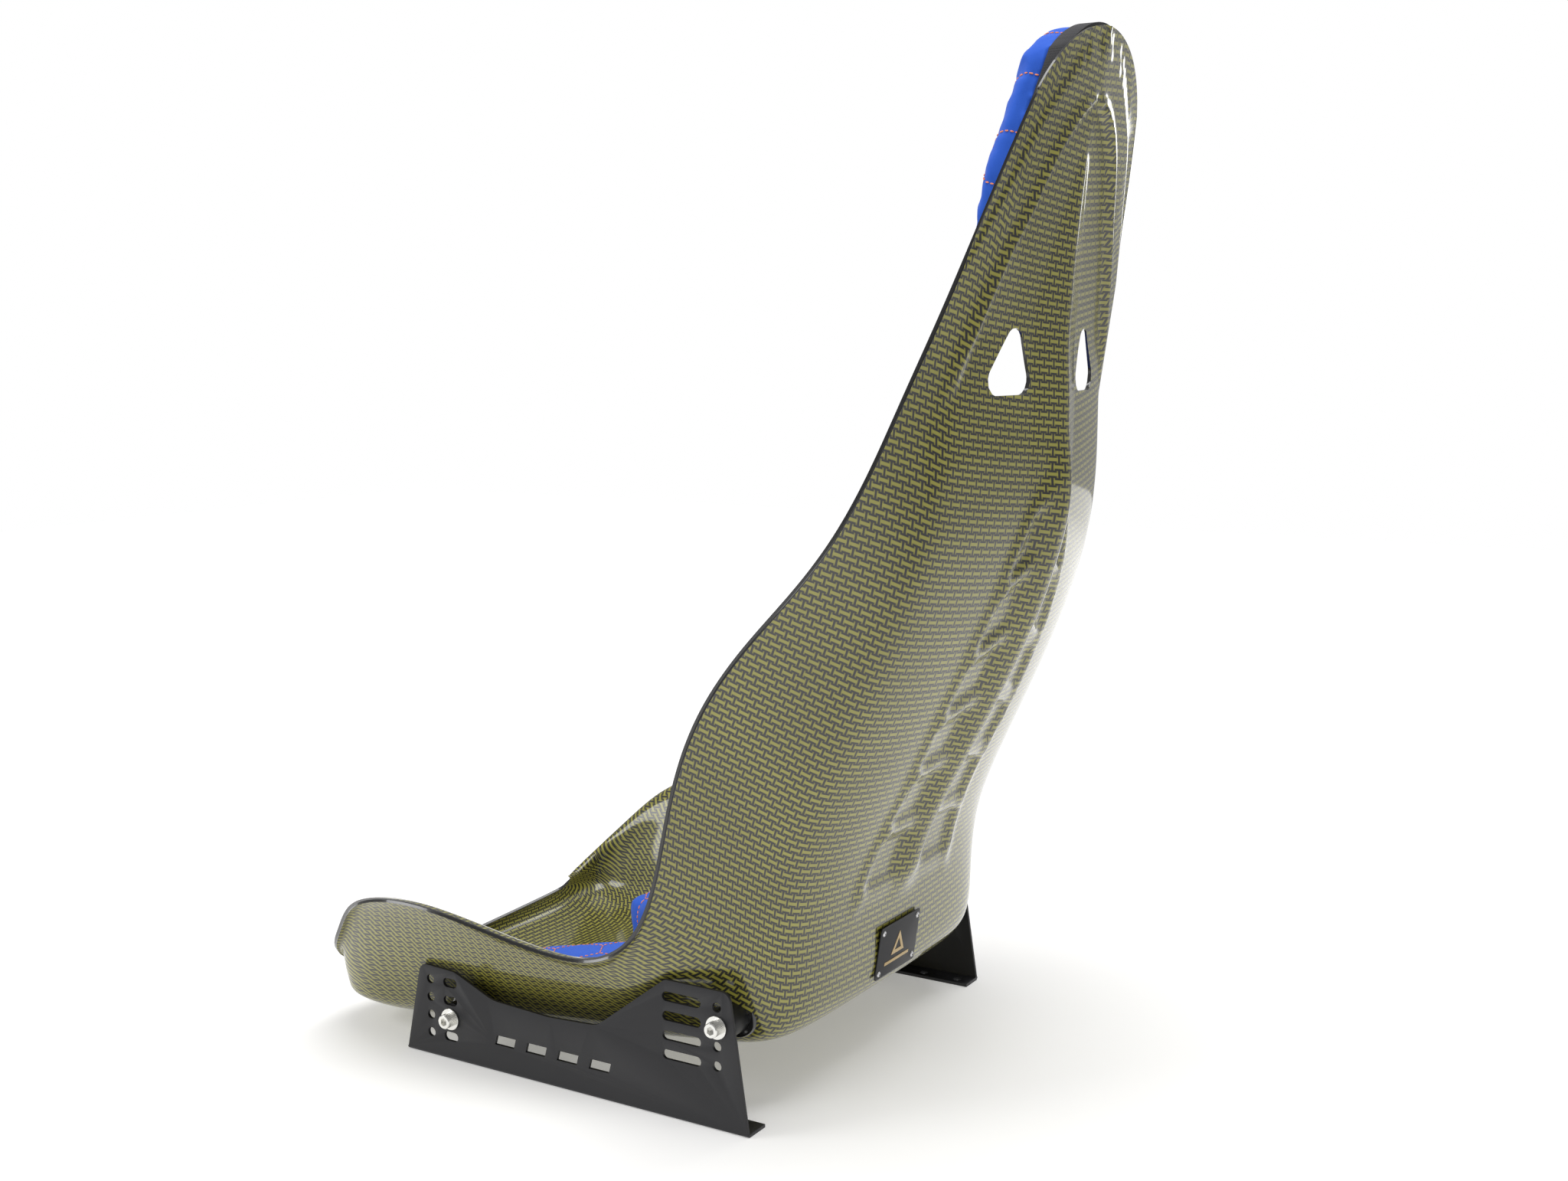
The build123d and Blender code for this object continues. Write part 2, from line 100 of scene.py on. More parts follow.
class NodeSheet:
    """A node tree with short calls for adding and joining nodes."""

    def __init__(self, tree: bpy.types.NodeTree) -> None:
        """Takes the tree that the nodes go into."""
        self.tree = tree

    def add(self, kind: str, **settings: object) -> bpy.types.Node:
        """Adds one node.

        Args:
            kind: the node's Blender type name.
            **settings: properties to set on it.

        Returns:
            The new node.
        """
        node = self.tree.nodes.new(kind)
        for name, value in settings.items():
            setattr(node, name, value)
        return node

    def feed(self, socket: bpy.types.NodeSocket, value: Socket) -> None:
        """Links a socket to another one, or sets its value."""
        if isinstance(value, bpy.types.NodeSocket):
            self.tree.links.new(value, socket)
        else:
            socket.default_value = value

    def math(self, operation: str, *values: Socket) -> bpy.types.NodeSocket:
        """Adds a Math node.

        Args:
            operation: its operation.
            *values: its inputs, each a socket or a number.

        Returns:
            Its output socket.
        """
        node = self.add("ShaderNodeMath", operation=operation)
        for socket, value in zip(node.inputs, values):
            self.feed(socket, value)
        return node.outputs[0]

    def soft_step(self, value: Socket, width: float) -> bpy.types.NodeSocket:
        """A smooth 0 to 1 step where the value passes zero, over plus or minus the width.

        Args:
            value: what is compared with zero.
            width: half the length of the step.

        Returns:
            The step's socket.
        """
        node = self.add("ShaderNodeMapRange", interpolation_type="SMOOTHSTEP")
        self.feed(node.inputs["Value"], value)
        node.inputs["From Min"].default_value = -width
        node.inputs["From Max"].default_value = width
        return node.outputs["Result"]

    def mix(self, factor: Socket, first: object, second: object) -> bpy.types.NodeSocket:
        """Mixes two colours.

        Args:
            factor: how much of the second, from 0 to 1.
            first: a colour socket or an RGB triple.
            second: a colour socket or an RGB triple.

        Returns:
            The mixed colour's socket.
        """
        node = self.add("ShaderNodeMix", data_type="RGBA")
        self.feed(node.inputs[0], factor)
        for socket, value in zip((node.inputs[6], node.inputs[7]), (first, second)):
            self.feed(socket, value if isinstance(value, bpy.types.NodeSocket) else (*value, 1.0))
        return node.outputs[2]

    def place(self) -> bpy.types.NodeSocket:
        """The piece's Object coordinates."""
        return self.add("ShaderNodeTexCoord").outputs["Object"]

    def parts(self, vector: bpy.types.NodeSocket) -> bpy.types.NodeOutputs:
        """The X, Y and Z of a vector."""
        split = self.add("ShaderNodeSeparateXYZ")
        self.feed(split.inputs[0], vector)
        return split.outputs

    def noise(self, scale: float, detail: float = 3.0) -> Socket:
        """Noise on Object coordinates.

        Args:
            scale: lumps to the metre.
            detail: octaves of finer noise.

        Returns:
            The noise factor's socket.
        """
        node = self.add("ShaderNodeTexNoise")
        self.feed(node.inputs["Vector"], self.place())
        node.inputs["Scale"].default_value = scale
        node.inputs["Detail"].default_value = detail
        return node.outputs["Fac"]

    def bump(self, height: Socket, distance: float, strength: float = 1.0) -> Socket:
        """Bump from a height.

        Args:
            height: the height's socket.
            distance: metres that a height of 1 stands for.
            strength: the bump's weight.

        Returns:
            The normal's socket.
        """
        node = self.add("ShaderNodeBump")
        self.feed(node.inputs["Height"], height)
        node.inputs["Distance"].default_value = distance
        node.inputs["Strength"].default_value = strength
        return node.outputs["Normal"]


def new_object(name: str, mesh: bpy.types.Mesh) -> bpy.types.Object:
    """Links a new object with that mesh to the scene."""
    piece = bpy.data.objects.new(name, mesh)
    bpy.context.scene.collection.objects.link(piece)
    return piece


def object_from(name: str, points: Sequence, faces: Sequence) -> bpy.types.Object:
    """Makes an object from points and faces.

    Args:
        name: the object's name.
        points: vertex places in metres.
        faces: tuples of vertex numbers.

    Returns:
        The new object.
    """
    mesh = bpy.data.meshes.new(name)
    mesh.from_pydata([tuple(map(float, p)) for p in points], [], [tuple(f) for f in faces])
    mesh.update()
    return new_object(name, mesh)


def object_of(name: str, shape: bmesh.types.BMesh) -> bpy.types.Object:
    """Makes an object from a working mesh, and frees it."""
    mesh = bpy.data.meshes.new(name)
    shape.to_mesh(mesh)
    shape.free()
    return new_object(name, mesh)


@contextmanager
def editing(piece: bpy.types.Object) -> Iterator[bmesh.types.BMesh]:
    """Opens the piece's mesh for editing, and writes it back.

    Args:
        piece: the object whose mesh is edited.
    """
    shape = bmesh.new()
    shape.from_mesh(piece.data)
    yield shape
    shape.to_mesh(piece.data)
    shape.free()


def places_of(mesh: bpy.types.Mesh) -> np.ndarray:
    """The mesh's vertex places, one to a row."""
    return np.array([v.co for v in mesh.vertices])


def normals_of(mesh: bpy.types.Mesh) -> np.ndarray:
    """The mesh's vertex normals, one to a row."""
    return np.array([v.normal for v in mesh.vertices])


def move_to(mesh: bpy.types.Mesh, places: np.ndarray) -> None:
    """Moves the mesh's vertices to those places."""
    mesh.vertices.foreach_set("co", places.ravel())
    mesh.update()


def baked(piece: bpy.types.Object) -> bpy.types.Object:
    """Turns the piece's modifiers into plain mesh.

    Args:
        piece: an object with modifiers.

    Returns:
        The same object, with its evaluated mesh and no modifiers.
    """
    bpy.context.view_layer.update()
    graph = bpy.context.evaluated_depsgraph_get()
    mesh = bpy.data.meshes.new_from_object(
        piece.evaluated_get(graph), preserve_all_data_layers=True, depsgraph=graph
    )
    piece.modifiers.clear()
    piece.data = mesh
    return piece


def shade(piece: bpy.types.Object, angle: float = 35.0) -> None:
    """Smooths the piece's faces, and keeps edges sharper than the angle in degrees."""
    piece.data.shade_smooth()
    piece.data.set_sharp_from_angle(angle=math.radians(angle))


def dress(piece: bpy.types.Object, *finishes: "Finish") -> None:
    """Gives the piece its materials, in slot order.

    Args:
        piece: the object to dress.
        *finishes: its finishes, one to a slot.
    """
    if piece.data.materials:
        piece.data.materials.clear()
    for finish in finishes:
        piece.data.materials.append(finish.material())


def settle(piece: bpy.types.Object, body: Body, slot: str, *nodes: str) -> bpy.types.Object:
    """Hands a finished piece to the frame.

    Args:
        piece: the finished piece.
        body: the body that it rides on.
        slot: the record's material slot; not used.
        *nodes: the CAD nodes that it stands for.

    Returns:
        The piece.
    """
    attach(piece, body.value)
    if nodes:
        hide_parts(*nodes)
    LOG.info("%s: %d faces on %s", piece.name, len(piece.data.polygons), body.value)
    return piece


def revolved(profile: Sequence[tuple[float, float]], sides: int) -> bmesh.types.BMesh:
    """Turns a profile round Z into a closed mesh.

    Args:
        profile: (radius, height) pairs in metres, from the axis back to the axis or closed.
        sides: steps round the turn.

    Returns:
        The mesh, with its normals outward.
    """
    shape = bmesh.new()
    rings = []
    for radius, height in profile:
        if radius < 1e-7:
            rings.append([shape.verts.new((0, 0, height))] * sides)
            continue
        turns = [2 * math.pi * k / sides for k in range(sides)]
        rings.append([
            shape.verts.new((radius * math.cos(t), radius * math.sin(t), height)) for t in turns
        ])
    pairs = list(zip(rings, rings[1:]))
    if profile[0][0] > 0:
        pairs.append((rings[-1], rings[0]))
    for low, high in pairs:
        for k in range(sides):
            corners = [low[k], low[(k + 1) % sides], high[(k + 1) % sides], high[k]]
            face = list(dict.fromkeys(corners))
            if len(face) > 2:
                shape.faces.new(face)
    bmesh.ops.recalc_face_normals(shape, faces=shape.faces)
    return shape


def along_x(shape: bmesh.types.BMesh, side: Side, place: Vector) -> None:
    """Turns a mesh so that its +Z points outwards on that side, and moves it to its place."""
    turn = Matrix.Rotation(side.value * math.pi / 2, 4, "Y")
    shape.transform(Matrix.Translation(place) @ turn)


# ---------------------------------------------------------------- finishes
@dataclass(frozen=True)
class Finish:
    """A named surface finish, built once as a material."""

    name: str

    def material(self) -> bpy.types.Material:
        """Returns the material, building it the first time."""
        found = bpy.data.materials.get(self.name)
        if found:
            return found
        made = bpy.data.materials.new(self.name)
        made.use_nodes = True
        sheet = NodeSheet(made.node_tree)
        self.paint(sheet, made.node_tree.nodes["Principled BSDF"])
        return made

    def paint(self, sheet: NodeSheet, shader: bpy.types.Node) -> None:
        """Fills in the shader.

        Args:
            sheet: the material's nodes.
            shader: its Principled BSDF.
        """
        raise NotImplementedError


@dataclass(frozen=True)
class HybridWeave(Finish):
    """Black and yellow-green cloth, woven in an H pattern, under clear resin."""

    across: float = 12.0 * MM
    row: float = 6.0 * MM
    # light and dark are the aramid's two colours. Random tone mixes between them, and the dark one
    # is also painted shade at the row edges.
    light: Colour = (0.50, 0.475, 0.075)
    dark: Colour = (0.19, 0.172, 0.020)
    carbon: Colour = (0.006, 0.006, 0.005)
    carbon_light: Colour = (0.018, 0.017, 0.014)
    bar_half_height: float = 0.23
    bar_half_length: float = 0.40
    stroke_place: float = 0.365
    stroke_half_width: float = 0.052
    stroke_half_height: float = 0.49
    blur: tuple[float, float] = (0.015, 0.03)
    relief: float = 0.12 * MM

    def paint(self, sheet: NodeSheet, shader: bpy.types.Node) -> None:
        """Draws the bars and strokes of the weave from the piece's own UV map."""
        chart = sheet.parts(sheet.add("ShaderNodeUVMap", uv_map="cloth").outputs["UV"])
        cell = sheet.math("DIVIDE", chart[0], self.across)
        height = sheet.math("DIVIDE", chart[1], self.row)
        row = sheet.math("ROUND", height)
        off_row = sheet.math("ABSOLUTE", sheet.math("SUBTRACT", height, row))
        shift = sheet.math("MULTIPLY", sheet.math("PINGPONG", row, 1.0), 0.5)
        place = sheet.math("FRACT", sheet.math("ADD", cell, shift))
        off_middle = sheet.math("ABSOLUTE", sheet.math("SUBTRACT", place, 0.5))
        off_stroke = sheet.math("ABSOLUTE", sheet.math("SUBTRACT", off_middle, self.stroke_place))
        fine, coarse = self.blur

        def within(half: float, gap: Socket, blur: float) -> Socket:
            """1 where the gap is under the half-width, with a soft edge.

            Args:
                half: the half-width.
                gap: the distance from the middle.
                blur: the edge's softness.

            Returns:
                The mask's socket.
            """
            return sheet.soft_step(sheet.math("SUBTRACT", half, gap), blur)

        in_bar = within(self.bar_half_height, off_row, coarse)
        in_length = within(self.bar_half_length, off_middle, fine)
        in_stroke = within(self.stroke_half_width, off_stroke, fine)
        in_height = within(self.stroke_half_height, off_row, coarse)
        bar = sheet.math("MULTIPLY", in_bar, in_length)
        stroke = sheet.math("MULTIPLY", in_stroke, in_height)
        yarn = sheet.math("MAXIMUM", bar, stroke)
        fibre = sheet.noise(2600.0, 2.0)
        patch = sheet.noise(14.0, 2.0)
        tone = sheet.math("MULTIPLY_ADD", fibre, 0.6, sheet.math("MULTIPLY", patch, 0.4))
        # Painted shade: the aramid darkens towards the edges of each row, where the yarn dips. The
        # noise adds random tone.
        row_edge_shade = sheet.math("MULTIPLY", off_row, off_row)
        tone_and_row_edge_shade = sheet.math("MULTIPLY_ADD", row_edge_shade, 4.0, tone)
        aramid = sheet.mix(tone_and_row_edge_shade, self.light, self.dark)
        carbon = sheet.mix(fibre, self.carbon, self.carbon_light)
        sheet.feed(shader.inputs["Base Color"], sheet.mix(yarn, carbon, aramid))
        relief = sheet.math("MULTIPLY_ADD", yarn, 0.5, sheet.math("MULTIPLY", fibre, 0.3))
        sheet.feed(shader.inputs["Normal"], sheet.bump(relief, self.relief, 0.6))
        shader.inputs["Roughness"].default_value = 0.42
        shader.inputs["Coat Weight"].default_value = 1.0
        shader.inputs["Coat Roughness"].default_value = 0.07
        shader.inputs["Coat IOR"].default_value = 1.52


@dataclass(frozen=True)
class Plain(Finish):
    """A paint, metal or plastic with fine grain and mottling."""

    colour: Colour = (0.5, 0.5, 0.5)
    worn: Colour = (0.6, 0.6, 0.6)
    metallic: float = 0.0
    roughness: tuple[float, float] = (0.3, 0.5)
    grain: float = 900.0
    grain_height: float = 0.04 * MM
    coat: float = 0.0

    def paint(self, sheet: NodeSheet, shader: bpy.types.Node) -> None:
        """Mottles the colour and roughness, and grains the surface."""
        mottle = sheet.noise(55.0, 4.0)
        grain = sheet.noise(self.grain, 2.0)
        sheet.feed(shader.inputs["Base Color"], sheet.mix(mottle, self.colour, self.worn))
        low, high = self.roughness
        rough = sheet.math("MULTIPLY_ADD", mottle, high - low, low)
        sheet.feed(shader.inputs["Roughness"], rough)
        sheet.feed(shader.inputs["Normal"], sheet.bump(grain, self.grain_height))
        shader.inputs["Metallic"].default_value = self.metallic
        shader.inputs["Coat Weight"].default_value = self.coat
        shader.inputs["Coat Roughness"].default_value = 0.05


@dataclass(frozen=True)
class Suede(Finish):
    """Napped cloth with brushed patches and a soft sheen."""

    colour: Colour = (0.018, 0.085, 0.52)
    brushed: Colour = (0.040, 0.150, 0.72)
    nap: float = 0.25 * MM
    sheen: float = 0.15

    def paint(self, sheet: NodeSheet, shader: bpy.types.Node) -> None:
        """Varies the nap's lie and depth over the cloth."""
        nap = sheet.noise(1700.0, 5.0)
        lie = sheet.noise(38.0, 5.0)
        fleck = sheet.math("MULTIPLY_ADD", nap, 0.55, sheet.math("MULTIPLY", lie, 0.45))
        sheet.feed(shader.inputs["Base Color"], sheet.mix(fleck, self.colour, self.brushed))
        sheet.feed(shader.inputs["Normal"], sheet.bump(nap, self.nap, 0.8))
        shader.inputs["Roughness"].default_value = 0.92
        shader.inputs["Sheen Weight"].default_value = self.sheen
        shader.inputs["Sheen Roughness"].default_value = 0.45
        shader.inputs["Specular IOR Level"].default_value = 0.2


@dataclass(frozen=True)
class Knit(Finish):
    """Close-knitted cloth or pile tape, in fine crossed ridges."""

    colour: Colour = (0.012, 0.012, 0.014)
    # high is a painted highlight: the lighter colour laid on the crests of the loops.
    high: Colour = (0.045, 0.045, 0.05)
    pitch: float = 1.4 * MM

    def paint(self, sheet: NodeSheet, shader: bpy.types.Node) -> None:
        """Crosses two fine waves for the loops of the knit, and paints the loop crests lighter as a
        painted highlight.
        """
        place = sheet.parts(sheet.place())
        turn = 2 * math.pi / self.pitch
        waves = [sheet.math("SINE", sheet.math("MULTIPLY", place[k], turn)) for k in range(3)]
        crossed = sheet.math("MULTIPLY", waves[0], sheet.math("ADD", waves[1], waves[2]))
        loops = sheet.math("MULTIPLY_ADD", crossed, 0.25, 0.5)
        fuzz = sheet.noise(1500.0, 3.0)
        height = sheet.math("MULTIPLY_ADD", fuzz, 0.5, loops)
        # Painted highlight: the colour turns from the knit's own colour to the lighter one on the
        # loop crests.
        sheet.feed(shader.inputs["Base Color"], sheet.mix(loops, self.colour, self.high))
        sheet.feed(shader.inputs["Normal"], sheet.bump(height, 0.3 * MM))
        shader.inputs["Roughness"].default_value = 0.9
        shader.inputs["Sheen Weight"].default_value = 0.1


@dataclass(frozen=True)
class Thread(Finish):
    """Twisted two-colour sewing thread."""

    colour: Colour = (0.90, 0.17, 0.05)
    twist: Colour = (1.0, 0.42, 0.22)

    def paint(self, sheet: NodeSheet, shader: bpy.types.Node) -> None:
        """Alternates two shades as the plies turn."""
        wave = sheet.add("ShaderNodeTexWave", bands_direction="DIAGONAL")
        sheet.feed(wave.inputs["Vector"], sheet.place())
        wave.inputs["Scale"].default_value = 400.0
        sheet.feed(
            shader.inputs["Base Color"], sheet.mix(wave.outputs["Fac"], self.colour, self.twist)
        )
        sheet.feed(shader.inputs["Normal"], sheet.bump(wave.outputs["Fac"], 0.1 * MM))
        shader.inputs["Roughness"].default_value = 0.6


@dataclass(frozen=True)
class StudioFloor(Finish):
    """Pale seamless floor that glows with painted light, more so away from the seat, with painted
    shade on the camera's side.
    """

    near: float = 0.6
    far: float = 3.5
    near_glow: float = 0.28
    far_glow: float = 0.72
    bright_x: float = 1.2
    bright_y: float = 1.35
    fade: float = 0.8
    camera_side_shade_colour: Colour = (0.62, 0.62, 0.62)
    camera_side_glow_share: float = 0.35

    def paint(self, sheet: NodeSheet, shader: bpy.types.Node) -> None:
        """Raises the painted glow with the distance from the middle, and paints shade on the
        camera's side.
        """
        length = sheet.add("ShaderNodeVectorMath", operation="LENGTH")
        sheet.feed(length.inputs[0], sheet.place())
        glow = sheet.add("ShaderNodeMapRange", interpolation_type="SMOOTHSTEP")
        sheet.feed(glow.inputs["Value"], length.outputs["Value"])
        for name, value in (
            ("From Min", self.near), ("From Max", self.far),
            ("To Min", self.near_glow), ("To Max", self.far_glow),
        ):
            glow.inputs[name].default_value = value
        place = sheet.parts(sheet.place())
        # Painted shade: on the camera's side, past bright_x or bright_y, the floor is painted grey
        # and glows less.
        past_x = sheet.math("SUBTRACT", place[0], self.bright_x)
        past_y = sheet.math("SUBTRACT", place[1], self.bright_y)
        camera_side_shade = sheet.soft_step(sheet.math("MAXIMUM", past_x, past_y), self.fade)
        mottle = sheet.noise(12.0)
        pale = sheet.mix(mottle, (0.86, 0.855, 0.85), (0.89, 0.885, 0.88))
        sheet.feed(shader.inputs["Base Color"], sheet.mix(camera_side_shade, pale, self.camera_side_shade_colour))
        shader.inputs["Roughness"].default_value = 0.6
        # Painted light: the floor glows though it is no lamp, less near the seat and more far off.
        shader.inputs["Emission Color"].default_value = (1.0, 0.995, 0.985, 1.0)
        lit = sheet.math("MULTIPLY_ADD", camera_side_shade, self.camera_side_glow_share - 1.0, 1.0)
        strength = sheet.math("MULTIPLY", glow.outputs["Result"], lit)
        sheet.feed(shader.inputs["Emission Strength"], strength)


WEAVE = HybridWeave("hybrid_weave")
LAMINATE_EDGE = Plain(
    "laminate_edge", (0.006, 0.006, 0.006), (0.018, 0.018, 0.018), 0.0, (0.12, 0.28), 700.0,
    0.02 * MM, 0.8,
)
POWDER_COAT = Plain(
    "powder_coat", (0.010, 0.010, 0.012), (0.016, 0.016, 0.019), 0.0, (0.40, 0.52), 2400.0,
    0.05 * MM,
)
BLACK_ANODISED = Plain(
    "black_anodised", (0.010, 0.010, 0.011), (0.020, 0.020, 0.022), 0.4, (0.30, 0.42), 1800.0,
    0.02 * MM,
)
ZINC = Plain(
    "zinc_plate", (0.72, 0.72, 0.70), (0.86, 0.85, 0.80), 1.0, (0.16, 0.34), 500.0, 0.02 * MM
)
STEEL = Plain(
    "turned_steel", (0.50, 0.50, 0.51), (0.62, 0.62, 0.63), 1.0, (0.25, 0.42), 600.0, 0.02 * MM
)
RIVET_METAL = Plain(
    "rivet_metal", (0.74, 0.74, 0.75), (0.84, 0.84, 0.85), 1.0, (0.20, 0.32), 700.0, 0.01 * MM
)
BADGE_BLACK = Plain(
    "badge_black", (0.012, 0.012, 0.013), (0.026, 0.026, 0.028), 0.0, (0.22, 0.34), 1500.0,
    0.01 * MM, 0.3,
)
EMBLEM_GOLD = Plain(
    "emblem_gold", (0.52, 0.34, 0.14), (0.66, 0.46, 0.22), 0.7, (0.28, 0.42), 1100.0, 0.01 * MM
)
PALE_FLOOR = StudioFloor("pale_floor")
BLUE_SUEDE = Suede("blue_suede")
BLACK_KNIT = Knit("black_knit")
PILE_TAPE = Knit("pile_tape", (0.006, 0.006, 0.007), (0.03, 0.03, 0.033), 1.0 * MM)
SEAM_THREAD = Thread("seam_thread")


# ---------------------------------------------------------------- shell
@dataclass(frozen=True)
class ShellForm:
    """The shell's lines: cross-sections from the front lip round the tail and up to the head.

    Each station is one section of the outer skin, in millimetres: the centre line's y and z, the
    rim's x, y and z, the half-width of the flat floor, the half-width low on the wall, how far
    the section is straightened towards a V, and how far the rim is rolled outwards.
    """

    stations: tuple = (
        (-290, 37, 165, -292, 48, 115, 145, 0.50, 4),
        (-296, 19, 212, -291, 66, 150, 196, 0.10, 6),
        (-264, 8, 231, -254, 105, 158, 204, 0.00, 12),
        (-215, 4, 259, -214, 150, 158, 193, 0.00, 16),
        (-140, 14, 265, -132, 161, 160, 190, 0.00, 16),
        (-55, 28, 254, -48, 140, 162, 189, 0.00, 14),
        (45, 41, 240, 26, 123, 166, 187, 0.00, 12),
        (130, 51, 236, 70, 138, 170, 187, 0.00, 8),
        (184, 57, 237, 97, 168, 174, 187, 0.00, 4),
        (207, 80, 238, 113, 212, 164, 186, 0.00, 2),
        (209, 130, 240, 124, 262, 147, 183, 0.00, 1),
        (216, 190, 241, 140, 318, 130, 185, 0.00, 1),
        (243, 250, 241, 164, 366, 118, 188, 0.00, 1),
        (279, 315, 240, 200, 412, 105, 186, 0.05, 1),
        (315, 385, 235, 242, 456, 95, 180, 0.15, 1),
        (343, 450, 227, 275, 500, 85, 170, 0.30, 1),
        (358, 520, 214, 299, 552, 80, 158, 0.50, 1),
        (359, 590, 195, 315, 606, 80, 145, 0.70, 1),
        (359, 655, 172, 332, 662, 75, 130, 0.80, 1),
        (365, 720, 150, 350, 724, 70, 115, 0.80, 1),
        (377, 790, 126, 369, 792, 60, 98, 0.80, 1),
        (387, 845, 102, 384, 846, 50, 78, 0.80, 1),
        (400, 910, 72, 398, 910, 36, 55, 0.80, 1),
    )
    wall_rises: tuple = (0.14, 0.35, 0.68)
    flare_shares: tuple = (0.0, 0.15, 0.50)
    degree: int = 3

    def spline(self, points: np.ndarray, where: np.ndarray) -> np.ndarray:
        """Evaluates the clamped uniform B-spline that the points hold.

        Args:
            points: one control point to a row.
            where: places along it, from 0 to 1.

        Returns:
            One point to a row.
        """
        points = np.asarray(points, dtype=float)
        inner = np.linspace(0, 1, len(points) - self.degree + 1)
        knots = np.concatenate([np.zeros(self.degree), inner, np.ones(self.degree)])
        where = np.clip(np.asarray(where, dtype=float), 0, 1 - 1e-9)[:, None]
        weights = ((knots[:-1] <= where) & (where < knots[1:])).astype(float)
        for degree in range(1, self.degree + 1):
            rise = knots[degree:-1] - knots[: -degree - 1]
            fall = knots[degree + 1:] - knots[1:-degree]
            up = np.where(rise > 0, (where - knots[: -degree - 1]) / np.maximum(rise, 1e-9), 0)
            down = np.where(fall > 0, (knots[degree + 1:] - where) / np.maximum(fall, 1e-9), 0)
            weights = up * weights[:, :-1] + down * weights[:, 1:]
        return weights @ points

    def section(self, station: np.ndarray, across: np.ndarray) -> np.ndarray:
        """Points of one section, in millimetres.

        Args:
            station: the section's values.
            across: places from -1 at the right rim to 1 at the left.

        Returns:
            One point to a row.
        """
        centre_y, centre_z, rim_x, rim_y, rim_z, floor, wall, roof, roll = station
        height = np.hypot(rim_y - centre_y, rim_z - centre_z)
        up_y, up_z = (rim_y - centre_y) / height, (rim_z - centre_z) / height
        walls = [wall + share * (rim_x - wall) for share in self.flare_shares]
        widths = np.array([0, floor / 2, floor, *walls, rim_x - roll, rim_x])
        rises = height * np.array([0, 0, 0, *self.wall_rises, 1, 1])
        rises = (1 - roof) * rises + roof * height * widths / rim_x
        half = self.spline(np.stack([widths, rises], axis=1), np.abs(across))
        return np.stack(
            [half[:, 0] * np.sign(across), centre_y + up_y * half[:, 1],
             centre_z + up_z * half[:, 1]], axis=1,
        )

    def outer(self, along: np.ndarray, across: np.ndarray) -> np.ndarray:
        """Grid of points on the outer skin, in metres."""
        rows = self.spline(np.array(self.stations), along)
        return np.stack([self.section(row, across) for row in rows]) * MM

    def inward(self, along: np.ndarray, across: np.ndarray) -> np.ndarray:
        """Grid of unit normals that point into the seat.

        Args:
            along: places from the front lip, 0, to the head, 1.
            across: places from rim to rim, -1 to 1.

        Returns:
            One unit normal to a grid point.
        """
        step = 1e-4
        ahead = self.outer(np.clip(along + step, 0, 1), across)
        down = ahead - self.outer(np.clip(along - step, 0, 1), across)
        side = self.outer(along, across + step) - self.outer(along, across - step)
        normal = np.cross(side, down)
        return normal / np.linalg.norm(normal, axis=2, keepdims=True)


